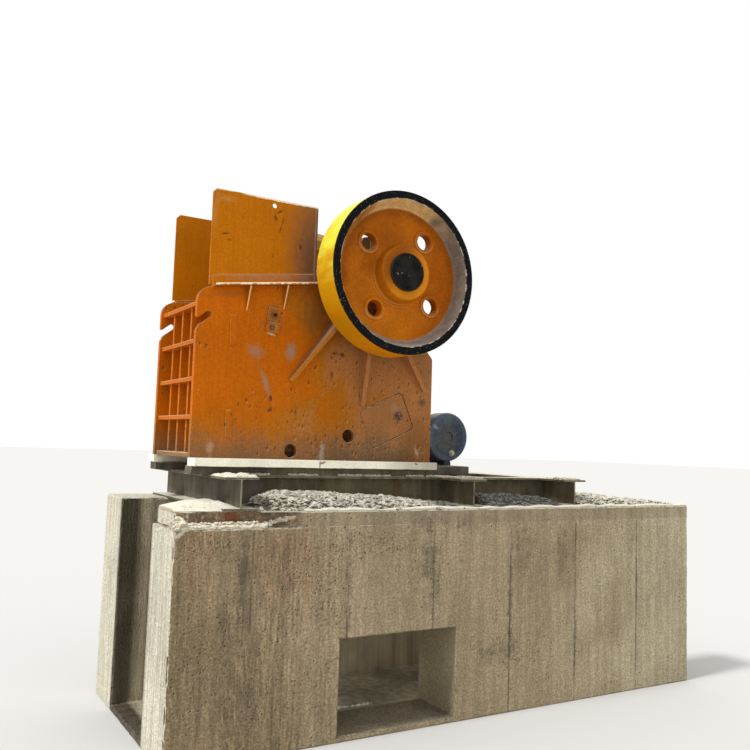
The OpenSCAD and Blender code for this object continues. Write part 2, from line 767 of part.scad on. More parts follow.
// Split bearing housings
module bearing() {
  y0 = -out_y - bearing_out;
  foot_half = seat_half - 20;
  foot_t = 70;
  boss_w = 70;
  boss_x = housing_r + 25;
  boss_in = 30;
  boss_over = 60;
  color("#a8610c") difference() {
    union() {
      bar_y(shaft_x, shaft_z, housing_r, y0, y0 + housing_w);
      translate([shaft_x - foot_half, y0, seat_top]) cube([2 * foot_half, housing_w, foot_t]);
      translate([shaft_x - housing_r, y0, seat_top]) cube([2 * housing_r, housing_w, housing_r]);
      for (s = [-1, 1]) {
        translate([shaft_x + s * boss_x - boss_w / 2, y0 + boss_in, seat_top])
          cube([boss_w, housing_w - 2 * boss_in, housing_r + boss_over]);
      }
      bar_y(shaft_x, shaft_z, housing_r - 40, y0 - seal_t, y0 + housing_w + seal_in);
    }
    bar_y(shaft_x, shaft_z, shaft_r + bearing_gap, y0 - 2 * seal_t, y0 + housing_w + 2 * seal_t);
  }
}
module near_bearing() { bearing(); }
module far_bearing() { far_side() bearing(); }

// Shaft with its eccentric part, end caps and flywheels
module eccentric_shaft() {
  ecc_half = pitman_w / 2 + 8;
  color("#8a8a86") {
    bar_y(shaft_x, shaft_z, shaft_r, -wheel_y, wheel_y);
    bar_y(shaft_x, shaft_z - throw_e, ecc_r, -ecc_half, ecc_half);
    bar_y(shaft_x, shaft_z, ring_r, ring_y, ring_y + ring_l - fit);
    bar_y(shaft_x, shaft_z, ring_r, -ring_y - ring_l + fit, -ring_y);
  }
}
module shaft_cap() { color("#2b2b2c") bar_y(shaft_x, shaft_z, cap_r, -wheel_y - cap_t, -wheel_y); }
module near_shaft_cap() { shaft_cap(); }
module far_shaft_cap() { far_side() shaft_cap(); }

// Half section of a wheel: r outwards, z from its outer face inwards; the tread is passed in
function wheel_section(tread) = let (ri = wheel_r - rim_t, back = dish_d + wheel_web_t)
  concat([[shaft_r + fit, 0], [hub_r - 6, 0], [hub_r, 6], [hub_r + 10, 60]],
    arc(hub_r + 52, dish_d - 40, 40, 180, 90, 4),
    [[hub_r + 130, dish_d + 8]],
    arc(ri - 85, dish_d - 40, 40, 90, 15, 4),
    [[ri - 6, 8], [ri, 0], [wheel_r - 5, 0], [wheel_r, 5]],
    tread,
    [[wheel_r, wheel_w - 5], [wheel_r - 5, wheel_w], [ri, wheel_w]],
    arc(ri - 72, back + 42, 34, -20, -90, 4),
    arc(hub_r + 46, back + 46, 38, -90, -180, 4),
    [[hub_r, wheel_w - hub_recess], [shaft_r + fit, wheel_w - hub_recess]]);
hole_a0 = 53;
hole_step = 90;
boss_t = 10;
module at_web_holes(z) {
  for (i = [0:3]) rotate(hole_a0 + i * hole_step) translate([web_hole_pcr, 0, z]) children();
}
module wheel(tread) {
  difference() {
    union() {
      rotate_extrude($fn = 128) polygon(wheel_section(tread));
      at_web_holes(dish_d - boss_t) cylinder(r = web_hole_r + 30, h = 4 * boss_t);
    }
    at_web_holes(-overlap) cylinder(r = web_hole_r, h = wheel_w + 2 * overlap);
  }
}
module near_flywheel() {
  color("#d98a10") translate([shaft_x, -wheel_y, shaft_z]) rotate([-90, 0, 0]) mirror([0, 1, 0]) wheel([]);
}
wheel_groove_w = rib_top_w + 2 * belt_gap + 2;
wheel_groove_d = rib_depth + belt_gap;
function grooves(r, top_w, low_w, d, z0) = [for (i = [0:groove_n - 1],
  k = [[0, -top_w / 2], [d, -low_w / 2], [d, low_w / 2], [0, top_w / 2]])
    [r - k[0], z0 + i * groove_pitch + k[1]]];
module far_flywheel() {
  color("#d98a10") translate([shaft_x, wheel_y, shaft_z]) rotate([90, 0, 0])
    wheel(grooves(wheel_r, wheel_groove_w, wheel_groove_w - 9, wheel_groove_d, groove_z0));
}

// Motor with its base, cowl, terminal box and pulley
motor_foot_w = 457;
motor_base_w = 520;
motor_base_over = 40;
cowl_l = 190;
shield_t = 60;
nose_l = 30;
module motor_base() {
  color("#6f6a60") translate([motor_x - motor_base_w / 2, motor_y - motor_base_over, beam_z])
    cube([motor_base_w, motor_l + 1.5 * motor_base_over, motor_base_h]);
}
// Cross section of the motor's core with its cooling fins, clear of the feet and the terminal box
module motor_section(core_r) {
  fin_w = 8;
  circle(r = core_r);
  for (a = concat([50:10:190], [254:8:286])) {
    rotate(a) translate([core_r - 4, -fin_w / 2]) square([motor_r - core_r + 4, fin_w]);
  }
}
motor_shaft_r = 40;
pad_y = motor_y + 350;
pad_l = 210;
pad_h = 180;
pad_drop = 30;
pad_out = 12;
box_lip = 10;
module motor_body() {
  foot_l = 420;
  foot_y = motor_y + cowl_l + 130;
  foot_x = motor_foot_w / 2;
  toe = 40;
  neck_z = slide_h + motor_h - 110;
  core_r = motor_r - 24;
  shield_y = motor_y1 - nose_l - shield_t;
  color("#2d4257") {
    wall_xz(motor_y + cowl_l, shield_y - motor_y - cowl_l)
      translate([motor_x, motor_z]) motor_section(core_r);
    bar_y(motor_x, motor_z, motor_r, shield_y, shield_y + shield_t);
    bar_y(motor_x, motor_z, motor_r - 90, shield_y + shield_t - lap, motor_y1);
    bar_y(motor_x, motor_z, motor_shaft_r, motor_y1 - lap, pulley_y1 - overlap);
    translate([motor_x, pad_y, motor_z - pad_drop]) cube([motor_r + pad_out, pad_l, pad_h]);
    for (s = [-1, 1]) {
      wall_xz(foot_y, foot_l) translate([motor_x, motor_base_top]) scale([s, 1]) {
        translate([foot_x - toe - 5, 0]) square([2 * toe + 10, slide_h]);
        polygon([[foot_x - toe, slide_h - overlap], [foot_x + toe, slide_h - overlap],
          [foot_x + toe, slide_h + 24], [foot_x, slide_h + 30], [foot_x, neck_z],
          [foot_x - 3 * toe, neck_z], [foot_x - toe, slide_h + 100]]);
      }
    }
  }
}
module motor_cowl() {
  edge = 24;
  r = motor_r + 5;
  color("#2d4257") translate([motor_x, motor_y, motor_z]) rotate([-90, 0, 0])
    rotate_extrude($fn = 96) polygon(concat([[0, 12], [60, 12], [60, 0]], arc(r - edge, edge, edge, -90, 0),
      [[r, cowl_l - fit], [0, cowl_l - fit]]));
}
module terminal_box() {
  color("#2d4257") translate([motor_x + motor_r + pad_out, pad_y - box_lip, motor_z - pad_drop - box_lip])
    cube([110, pad_l + 2 * box_lip, pad_h + 2 * box_lip]);
}
module motor_pulley() {
  bore = motor_shaft_r + fit;
  color("#4a4d50") translate([motor_x, pulley_y1, motor_z]) rotate([90, 0, 0])
    rotate_extrude($fn = 96) polygon(concat([[bore, 0], [pulley_r, 0]],
      grooves(pulley_r, rib_top_w + 2 * fit, rib_low_w + 2 * fit, rib_depth + fit, groove_pitch / 2),
      [[pulley_r, pulley_w], [bore, pulley_w]]));
}

// Banded belt: one loop round the grooved wheel and the pulley
function belt_section(r) = let (z0 = -(groove_n - 1) * groove_pitch / 2)
  concat([[r + band_t, belt_w / 2], [r + band_t, -belt_w / 2], [r, -belt_w / 2]],
    [for (i = [0:groove_n - 1], k = [[0, -rib_top_w / 2], [rib_depth, -rib_low_w / 2],
      [rib_depth, rib_low_w / 2], [0, rib_top_w / 2]]) [r - k[0], z0 + i * groove_pitch + k[1]]],
    [[r, belt_w / 2]]);
belt_r1 = wheel_r + belt_gap;
belt_r2 = pulley_r + fit;
belt_wrap = acos((belt_r1 - belt_r2) / belt_d);
belt_run = sqrt(pow(belt_d, 2) - pow(belt_r1 - belt_r2, 2));
module belt_straight() {
  rotate(belt_wrap) translate([0, lap / 4, 0]) rotate([90, 0, 0])
    linear_extrude(belt_run + lap / 2) polygon(belt_section(belt_r1));
}
module drive_belt() {
  color("#222222") translate([shaft_x, pulley_y, shaft_z]) rotate([90, 0, 0]) rotate(belt_angle) {
    rotate(belt_wrap) rotate_extrude(angle = 360 - 2 * belt_wrap, $fn = 128) polygon(belt_section(belt_r1));
    translate([belt_d, 0, 0]) rotate(-belt_wrap) rotate_extrude(angle = 2 * belt_wrap, $fn = 96)
      polygon(belt_section(belt_r2));
    belt_straight();
    mirror([0, 1, 0]) belt_straight();
  }
}

near_pier();
far_pier();
near_cap();
far_cap();
cross_beam_feed();
cross_beam_middle();
cross_beam_motor();
near_long_beams();
far_long_beams();
motor_bearers();
near_rail();
far_rail();
near_foot();
far_foot();
near_side_plate();
far_side_plate();
near_ribs();
far_ribs();
near_top_flange();
far_top_flange();
front_wall();
toggle_beam();
rear_tie();
fixed_jaw_plate();
near_cheek_plate();
far_cheek_plate();
pitman();
moving_jaw_plate();
toggle_plate();
tension_rod();
tension_spring();
near_feed_plate();
far_feed_plate();
rear_feed_plate();
near_bearing();
far_bearing();
eccentric_shaft();
near_shaft_cap();
far_shaft_cap();
near_flywheel();
far_flywheel();
motor_base();
motor_body();
motor_cowl();
terminal_box();
motor_pulley();
drive_belt();
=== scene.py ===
"""Jaw crusher on a steel grillage over two concrete walls: its finishes, fixings, dust and stones."""
import random
from math import cos, pi, radians, sin

import bmesh
import bpy
from mathutils import Matrix, Vector, noise


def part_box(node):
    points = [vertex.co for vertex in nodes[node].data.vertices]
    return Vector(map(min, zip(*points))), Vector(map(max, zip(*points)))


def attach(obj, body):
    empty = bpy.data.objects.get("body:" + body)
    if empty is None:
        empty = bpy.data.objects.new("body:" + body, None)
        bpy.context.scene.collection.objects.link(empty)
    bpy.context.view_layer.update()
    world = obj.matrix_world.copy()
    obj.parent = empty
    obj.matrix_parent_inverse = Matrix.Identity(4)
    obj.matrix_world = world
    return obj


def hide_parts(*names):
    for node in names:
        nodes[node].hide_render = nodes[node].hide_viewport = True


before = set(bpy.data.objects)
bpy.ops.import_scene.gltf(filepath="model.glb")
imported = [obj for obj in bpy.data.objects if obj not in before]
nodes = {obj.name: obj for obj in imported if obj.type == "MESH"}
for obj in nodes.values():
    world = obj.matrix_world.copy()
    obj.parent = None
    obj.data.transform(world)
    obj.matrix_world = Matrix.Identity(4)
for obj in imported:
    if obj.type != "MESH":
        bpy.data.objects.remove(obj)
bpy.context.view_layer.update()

# Camera: stands on the near side, before the feed end, at eye height over the plinth's foot.
# It looks slightly upwards and leans a little, as the photograph's camera did.
eye = (-4.845, -7.2143, 2.4751)
camera_yaw = radians(30.747)
camera_pitch = radians(4.904)
camera_lean = radians(1.879)
camera = bpy.data.objects.new("camera", bpy.data.cameras.new("camera"))
camera.data.lens = 39.07
camera.data.sensor_width = 36
camera.matrix_world = (Matrix.Translation(eye) @ Matrix.Rotation(-camera_yaw, 4, "Z")
                       @ Matrix.Rotation(pi / 2 + camera_pitch, 4, "X")
                       @ Matrix.Rotation(camera_lean, 4, "Z"))
bpy.context.scene.collection.objects.link(camera)
bpy.context.scene.camera = camera
bpy.context.scene.view_settings.view_transform = "Standard"

# Studio: one broad soft lamp high on the feed side, level with the near side's plane, and an even pale
# surround, so the front faces render about as their colours are written and the tops and the feed end
# come out brighter.
to_lamp = Vector((-0.60, -0.03, 0.80))
lamp = bpy.data.objects.new("key_lamp", bpy.data.lights.new("key_lamp", "SUN"))
lamp.data.energy = 2.6
lamp.data.angle = radians(9)
lamp.rotation_euler = to_lamp.to_track_quat("Z", "Y").to_euler()
bpy.context.scene.collection.objects.link(lamp)

surround = bpy.data.worlds.new("surround")
surround.use_nodes = True
bpy.context.scene.world = surround
sky = surround.node_tree
fill = sky.nodes["Background"]
fill.inputs["Color"].default_value = (1.0, 0.995, 0.985, 1)
white = sky.nodes.new("ShaderNodeBackground")
white.inputs["Color"].default_value = (1, 1, 1, 1)
ray = sky.nodes.new("ShaderNodeLightPath")
seen = sky.nodes.new("ShaderNodeMath")
seen.operation = "MAXIMUM"
mirrored = sky.nodes.new("ShaderNodeMath")
mirrored.operation = "MAXIMUM"
sky.links.new(ray.outputs["Is Glossy Ray"], mirrored.inputs[0])
sky.links.new(ray.outputs["Is Transmission Ray"], mirrored.inputs[1])
sky.links.new(ray.outputs["Is Camera Ray"], seen.inputs[0])
sky.links.new(mirrored.outputs[0], seen.inputs[1])
either = sky.nodes.new("ShaderNodeMixShader")
sky.links.new(seen.outputs[0], either.inputs[0])
sky.links.new(fill.outputs[0], either.inputs[1])
sky.links.new(white.outputs[0], either.inputs[2])
sky.links.new(either.outputs[0], sky.nodes["World Output"].inputs["Surface"])

floor_half = 150
ground = bmesh.new()
bmesh.ops.create_grid(ground, x_segments=1, y_segments=1, size=floor_half)
floor_mesh = bpy.data.meshes.new("studio_floor")
ground.to_mesh(floor_mesh)
ground.free()
floor_finish = bpy.data.materials.new("pale_floor")
floor_finish.use_nodes = True
floor_shader = floor_finish.node_tree.nodes["Principled BSDF"]
floor_shader.inputs["Base Color"].default_value = (0.56, 0.555, 0.54, 1)
floor_shader.inputs["Roughness"].default_value = 1
floor_shader.inputs["Specular IOR Level"].default_value = 0
floor_mesh.materials.append(floor_finish)
studio_floor = bpy.data.objects.new("studio_floor", floor_mesh)
bpy.context.scene.collection.objects.link(studio_floor)


# Concrete walls: two walls cast with the slab between them, the near one with a square opening, poured
# against boards that left upright joints, and a thin top pour over a day joint. Rain and slurry have run down them,
# grit and pits are coarse at the feed end, and the end face is painted pale, a painted light on the face that looks
# to the feed end.
class Finish:
    """A material whose patterns lie on a piece's own Object coordinates, in metres."""

    def __init__(self, name, roughness, metallic=0.0, specular=0.3):
        self.material = bpy.data.materials.new(name)
        self.material.use_nodes = True
        self.tree = self.material.node_tree
        self.shader = self.tree.nodes["Principled BSDF"]
        self.shader.inputs["Roughness"].default_value = roughness
        self.shader.inputs["Metallic"].default_value = metallic
        self.shader.inputs["Specular IOR Level"].default_value = specular
        where = self.add("ShaderNodeTexCoord")
        self.place = where.outputs["Object"]
        self.x, self.y, self.z = self.add("ShaderNodeSeparateXYZ", Vector=self.place).outputs
        self.nx, self.ny, self.nz = self.add("ShaderNodeSeparateXYZ", Vector=where.outputs["Normal"]).outputs
        self.worn = self.add("ShaderNodeAttribute", {"attribute_name": "worn"}).outputs["Fac"]
        self.near = self.ramp(self.y, 0.02, -0.02)
        self.wander = self.clouds(15, 4)

    def feed(self, socket, value):
        if isinstance(value, bpy.types.NodeSocket):
            self.tree.links.new(value, socket)
        elif socket.type == "RGBA":
            socket.default_value = (*value, 1)
        else:
            socket.default_value = value

    def add(self, kind, settings=None, **inputs):
        node = self.tree.nodes.new(kind)
        for key, value in (settings or {}).items():
            setattr(node, key, value)
        for key, value in inputs.items():
            self.feed(node.inputs[key.replace("_", " ")], value)
        return node

    def maths(self, operation, first, second=0.0):
        node = self.add("ShaderNodeMath", {"operation": operation})
        self.feed(node.inputs[0], first)
        self.feed(node.inputs[1], second)
        return node.outputs[0]

    def most(self, *values):
        """The largest of several masks."""
        top = values[0]
        for value in values[1:]:
            top = self.maths("MAXIMUM", top, value)
        return top

    def times(self, *values):
        product = values[0]
        for value in values[1:]:
            product = self.maths("MULTIPLY", product, value)
        return product

    def size(self, value):
        return self.maths("ABSOLUTE", value)

    def stretched(self, along):
        """The place with each axis scaled, so that a pattern is long where along is small."""
        node = self.add("ShaderNodeVectorMath", {"operation": "MULTIPLY"})
        self.feed(node.inputs[0], self.place)
        self.feed(node.inputs[1], along)
        return node.outputs[0]

    def mottle(self, scale, detail=3.0, along=(1, 1, 1)):
        return self.add("ShaderNodeTexNoise", Vector=self.stretched(along), Scale=scale,
                        Detail=detail).outputs[0]

    def ramp(self, value, low, high):
        """0 at low and 1 at high, with a soft passage; low may be the larger."""
        return self.add("ShaderNodeMapRange", {"interpolation_type": "SMOOTHSTEP"}, Value=value,
                        From_Min=low, From_Max=high).outputs[0]

    def clouds(self, scale, detail=3.0, along=(1, 1, 1), low=0.36, high=0.64):
        """A mottle drawn out to run from 0 to 1."""
        return self.ramp(self.mottle(scale, detail, along), low, high)

    def band(self, value, middle, half):
        """1 at middle, falling to 0 at half away from it."""
        return self.ramp(self.size(self.maths("SUBTRACT", value, middle)), half, 0)

    def spot(self, x, z, wide, tall, turn=0, ragged=0.6, soft=0.8):
        """A soft patch round a place on the near side, with its half width and half height."""
        dx = self.maths("SUBTRACT", self.x, x)
        dz = self.maths("SUBTRACT", self.z, z)
        a = radians(turn)
        u = self.maths("ADD", self.times(dx, cos(a) / wide), self.times(dz, sin(a) / wide))
        v = self.maths("SUBTRACT", self.times(dz, cos(a) / tall), self.times(dx, sin(a) / tall))
        away = self.maths("SQRT", self.maths("ADD", self.times(u, u), self.times(v, v)))
        away = self.maths("ADD", away, self.times(self.maths("SUBTRACT", self.wander, 0.5), ragged))
        return self.times(self.ramp(away, 1.0, 1.0 - soft), self.near)

    def mix(self, amount, first, second):
        node = self.add("ShaderNodeMix", {"data_type": "RGBA"})
        self.feed(node.inputs[0], amount)
        self.feed(node.inputs[6], first)
        self.feed(node.inputs[7], second)
        return node.outputs[2]

    def scaled(self, colour, value):
        """A colour made darker or lighter by a value round 1."""
        node = self.add("ShaderNodeVectorMath", {"operation": "SCALE"})
        self.feed(node.inputs[0], colour)
        self.feed(node.inputs["Scale"], value)
        return node.outputs[0]

    def round_one(self, value, spread):
        """A pattern from 0 to 1 turned into a factor that varies round 1 by the spread."""
        return self.maths("ADD", self.times(self.maths("SUBTRACT", value, 0.5), 2, spread), 1)

    def specks(self, scale, size, share, along=(1, 1, 1), bent=0.0, highlight_shift=0.0):
        """Small marks, each in a cell of its own, in the given share of the cells; bent makes them irregular,
        and the shift moves them up and towards the feed end, to paint a highlight on the lit lip of the same marks."""
        place = self.stretched(along)
        if bent:
            wander = self.add("ShaderNodeTexNoise", Vector=place, Scale=scale * 1.3,
                              Detail=2).outputs["Color"]
            moved = self.add("ShaderNodeVectorMath", {"operation": "MULTIPLY_ADD"})
            self.feed(moved.inputs[0], wander)
            self.feed(moved.inputs[1], (bent, bent, bent))
            self.feed(moved.inputs[2], place)
            place = moved.outputs[0]
        if highlight_shift:
            aside = self.add("ShaderNodeVectorMath", {"operation": "ADD"})
            self.feed(aside.inputs[0], place)
            self.feed(aside.inputs[1], (-highlight_shift, 0, highlight_shift))
            place = aside.outputs[0]
        cell = self.add("ShaderNodeTexVoronoi", Vector=place, Scale=scale)
        lot = self.add("ShaderNodeSeparateColor", Color=cell.outputs["Color"]).outputs[0]
        return self.times(self.ramp(cell.outputs["Distance"], size, 0.6 * size),
                          self.ramp(self.maths("SUBTRACT", share, lot), 0.0, 0.02))

    def dressed(self, colour, height=None, depth=0.001, roughness=None):
        self.feed(self.shader.inputs["Base Color"], colour)
        if roughness is not None:
            self.feed(self.shader.inputs["Roughness"], roughness)
        if height is not None:
            relief = self.add("ShaderNodeBump", Height=height, Distance=depth)
            self.feed(self.shader.inputs["Normal"], relief.outputs[0])
        return self.material


def keep(bm, name, finish, body="frame", crease=35, instead=()):
    """Makes a bmesh a piece: smooth up to the crease angle, dressed, and riding on its body."""
    mesh = bpy.data.meshes.new(name)
    bm.to_mesh(mesh)
    bm.free()
    for left in ("custom_normal", "sharp_face", "sharp_edge"):
        if left in mesh.attributes:
            mesh.attributes.remove(mesh.attributes[left])
    mesh.materials.clear()
    mesh.materials.append(finish)
    mesh.shade_smooth()
    mesh.set_sharp_from_angle(angle=radians(crease))
    piece = bpy.data.objects.new(name, mesh)
    bpy.context.scene.collection.objects.link(piece)
    even = piece.modifiers.new("even_normals", "WEIGHTED_NORMAL")
    even.keep_sharp = True
    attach(piece, body)
    for node in instead:
        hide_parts(node)
    return piece


def hard_edges(bm, angle):
    return [e for e in bm.edges if len(e.link_faces) == 2 and e.calc_face_angle(0) > radians(angle)]


def eased(node, edge, steps=2, angle=28, pitch=0.0, chip=0.0, seed=0, sharp=None):
    """The CAD node's own shape with its hard edges eased; chip breaks them back unevenly, at about one
    place a pitch, and sharp tells of the middle of an edge whether that edge stays as it is."""
    bm = bmesh.new()
    bm.from_mesh(nodes[node].data)
    worn = bm.faces.layers.float.new("worn")
    bmesh.ops.remove_doubles(bm, verts=bm.verts, dist=0.00002)
    bmesh.ops.dissolve_limit(bm, angle_limit=radians(0.4), verts=bm.verts, edges=bm.edges)
    if pitch:
        for e in hard_edges(bm, angle):
            for left in range(round(e.calc_length() / pitch), 1, -1):
                e, _ = bmesh.utils.edge_split(e, e.verts[0], 1 - 1 / left)
    rims = hard_edges(bm, angle)
    if sharp:
        rims = [e for e in rims if not sharp((e.verts[0].co + e.verts[1].co) / 2)]
    made = bmesh.ops.bevel(bm, geom=rims, offset=edge, offset_type="OFFSET", segments=steps,
                           profile=0.5, affect="EDGES", material=-1, clamp_overlap=True)
    for f in made["faces"]:
        f[worn] = 1
    if chip:
        for v in {v for f in made["faces"] for v in f.verts if all(g[worn] for g in v.link_faces)}:
            deep = noise.noise(v.co * 9 + Vector((seed, 0, 0))) + 0.7 * noise.noise(v.co * 34)
            v.co -= v.normal * max(0, deep) * chip
    return bm


def carried(node, name, finish, slot, edge, body="frame", **shape):
    """A CAD node carried over with eased edges and its finish."""
    return keep(eased(node, edge, **shape), name, finish, body, instead=(node,))


pour_z = 1.78
cap_z = 1.91
stone_dust_tone = (0.56, 0.535, 0.44)
c = Finish("cast_concrete", roughness=0.95, specular=0.05)
patches = c.clouds(1.2, 4)
scratches = c.clouds(42, 5, along=(1, 1, 0.10))
runs = c.clouds(13, 5, along=(1, 1, 0.045))
grit = c.clouds(52, 5, low=0.40, high=0.60)
feed_part = c.ramp(c.x, -0.9, -2.0)
shift = c.maths("ADD", c.x, c.times(c.maths("SUBTRACT", patches, 0.5), 0.8))
tone = c.mix(c.ramp(shift, -2.7, -1.2), (0.280, 0.215, 0.128), (0.345, 0.274, 0.172))
tone = c.mix(c.ramp(shift, 0.8, 2.5), tone, (0.430, 0.370, 0.248))
tone = c.mix(c.times(c.most(c.spot(-1.95, 1.50, 0.42, 0.40), c.spot(-2.74, 1.50, 0.20, 0.36)), 0.6), tone,
             (0.345, 0.225, 0.132))
tone = c.mix(c.times(c.most(c.spot(-2.42, 0.45, 0.36, 0.36), c.spot(-2.30, 1.05, 0.10, 0.30)), 0.12), tone,
             (0.215, 0.180, 0.143))
scored = c.times(feed_part, c.clouds(2.1, 4), 0.17)
leaning = c.add("ShaderNodeCombineXYZ", X=c.maths("ADD", c.x, c.times(c.z, 0.13)), Y=c.y,
                Z=c.times(c.z, 0.11)).outputs[0]
strokes = c.ramp(c.add("ShaderNodeTexNoise", Vector=leaning, Scale=62, Detail=3).outputs[0], 0.42, 0.60)
stroke_area = c.times(c.ramp(shift, -1.9, -2.6), c.clouds(2.6, 4, low=0.42, high=0.62))
tone = c.scaled(tone, c.times(c.round_one(scratches, c.maths("ADD", 0.07, scored)),
                              c.round_one(runs, c.maths("ADD", 0.07,
                                                        c.times(feed_part, 0.05))), c.round_one(strokes, c.times(stroke_area, 0.16)),
                              c.round_one(patches, 0.08), c.round_one(grit, 0.15)))
stains = (
    (-2.34, 1.40, 0.07, 0.50, 0.45), (-2.46, 0.95, 0.10, 0.45, 0.22), (-2.28, 1.00, 0.035, 1.0, 0.18),
    (-1.401, 1.30, 0.050, 0.65, 0.60), (-0.54, 1.45, 0.13, 0.50, 0.55), (0.373, 1.10, 0.045, 0.80, 0.60),
    (0.52, 1.50, 0.15, 0.34, 0.40), (1.221, 0.95, 0.045, 1.10, 0.55), (1.03, 1.42, 0.12, 0.45, 0.35),
    (2.107, 0.90, 0.022, 1.10, 0.50), (-0.25, 1.80, 0.70, 0.12, 0.40), (0.25, 0.58, 0.32, 0.16, 0.40))
washed = c.round_one(c.clouds(24, 4, along=(1, 1, 0.06)), 0.55)
for x, z, wide, tall, amount in stains:
    tone = c.mix(c.times(c.spot(x, z, wide, tall, ragged=0.5, soft=1.0), amount, washed), tone,
                 (0.110, 0.090, 0.066))
board_joints = c.most(*(c.band(c.x, at, 0.011) for at in (-2.28, -1.401, -0.52, 0.373, 1.221, 2.107)))
board_joints = c.times(board_joints, c.ramp(c.size(c.ny), 0.6, 0.9), c.clouds(5, 3, along=(1, 1, 0.5)),
                       c.ramp(c.z, pour_z, pour_z - 0.05))
tone = c.mix(c.times(board_joints, 0.6), tone, (0.085, 0.070, 0.052))
top_pour = c.ramp(c.z, pour_z - 0.002, pour_z + 0.002)
tone = c.mix(c.times(top_pour, 0.45), tone, c.scaled((0.275, 0.225, 0.155), c.round_one(runs, 0.18)))
# A pale line along the day joint, for 0.8 m past the broken part: a painted highlight.
day_joint = c.times(c.band(c.z, pour_z, 0.006), c.clouds(6, 3), c.ramp(c.x, -2.1, -1.8),
                    c.ramp(c.x, -0.7, -1.0))
tone = c.mix(c.times(day_joint, 0.9), tone, (0.66, 0.60, 0.47))
crowd = c.most(*(c.spot(x, z, wide, tall, ragged=0.8) for x, z, wide, tall in (
    (0.45, 0.60, 0.60, 0.28), (-1.68, 1.30, 0.40, 0.48), (-2.22, 0.50, 0.14, 0.34), (-2.62, 0.85, 0.30, 0.40),
    (-0.55, 1.45, 0.20, 0.42), (-1.10, 1.62, 0.45, 0.14), (-2.60, 1.62, 0.25, 0.12))))
share = c.maths("ADD", c.times(crowd, 0.50), c.maths("ADD", 0.07, c.times(feed_part, 0.12)))
pits = c.specks(36, 0.30, share, bent=0.016)
pores = c.specks(70, 0.33, c.times(share, 1.4), bent=0.008)
# Pale lips beside the pits, up and towards the feed end: a painted highlight.
highlit_lips = c.most(c.specks(36, 0.30, share, bent=0.016, highlight_shift=0.007),
              c.times(c.specks(70, 0.33, c.times(share, 1.4), bent=0.008, highlight_shift=0.004), 0.7))
tone = c.mix(c.times(highlit_lips, 0.28), tone, (0.60, 0.50, 0.345))
tone = c.mix(c.times(c.most(pits, c.times(pores, 0.75)), 0.75), tone, (0.060, 0.047, 0.034))
broken = c.times(c.ramp(c.x, -1.84, -1.90), top_pour, c.ramp(c.size(c.nz), 0.6, 0.4), c.near)
tone = c.mix(c.times(broken, 0.85), tone, c.scaled((0.235, 0.158, 0.098),
                                                   c.times(c.round_one(c.clouds(22, 4), 0.25),
                                                           c.round_one(grit, 0.2))))
tone = c.mix(c.times(broken, c.spot(-2.44, 1.86, 0.11, 0.11), 0.9), tone, (0.275, 0.085, 0.048))
# The face at the feed end is painted pale: a painted light.
painted_light_end_tone = c.scaled((0.605, 0.568, 0.450), c.times(c.round_one(c.clouds(26, 5, along=(1, 1, 0.06)), 0.14),
                                                   c.round_one(grit, 0.10),
                                                   c.round_one(patches, 0.06)))
painted_light_end_tone = c.mix(c.times(pores, 0.35), painted_light_end_tone, (0.20, 0.175, 0.13))
tone = c.mix(c.times(c.ramp(c.nx, -0.35, -0.7), c.ramp(c.x, -2.6, -2.8)), tone, painted_light_end_tone)
# Inside the opening and between the walls, the jambs, soffit, inner faces and slab are painted paler than the wall,
# a painted light against the shade there, and the inner faces at the passage's ends are painted near black, a
# painted shade.
opening = c.ramp(c.size(c.x), 2.8, 2.7)
jamb_painted_light = c.times(c.most(c.ramp(c.size(c.nx), 0.4, 0.7), c.ramp(c.nz, -0.4, -0.7)), opening)
tone = c.mix(c.times(jamb_painted_light, 0.9), tone, c.scaled((0.400, 0.340, 0.220),
                                                c.times(c.round_one(grit, 0.15), c.round_one(patches, 0.2))))
sill = c.times(c.ramp(c.nz, 0.4, 0.7), opening, c.ramp(c.z, 0.5, 0.4))
tone = c.mix(sill, tone, c.scaled((0.250, 0.215, 0.150), c.times(c.round_one(grit, 0.2),
                                                                 c.round_one(patches, 0.2))))
inside = c.ramp(c.size(c.y), 0.56, 0.50)
passage_light_and_shade_tone = c.mix(opening, (0.075, 0.064, 0.045), (0.520, 0.450, 0.315))
passage_light_and_shade_tone = c.mix(c.times(c.ramp(c.z, 0.10, 0.07), opening), passage_light_and_shade_tone, (0.480, 0.425, 0.310))
tone = c.mix(c.times(inside, 0.92), tone, c.scaled(passage_light_and_shade_tone,
                                                   c.times(c.round_one(runs, 0.2),
                                                           c.round_one(patches, 0.3))))
tops = c.times(c.ramp(c.maths("ADD", c.nz, c.times(grit, 0.1)), 0.42, 0.80), c.ramp(c.z, 1.2, 1.5))
ledge = c.times(c.ramp(c.z, pour_z + 0.03, pour_z + 0.01), c.ramp(c.x, -1.8, -1.9))
top_tone = c.mix(c.times(ledge, c.clouds(22, 4)), c.scaled(stone_dust_tone,
                                                           c.round_one(c.clouds(30, 3), 0.14)), (0.30, 0.215, 0.14))
tone = c.mix(tops, tone, top_tone)
edge_dust = c.times(c.worn, c.clouds(24, 4), c.ramp(c.z, 1.35, 1.74), c.maths("SUBTRACT", 1, inside))
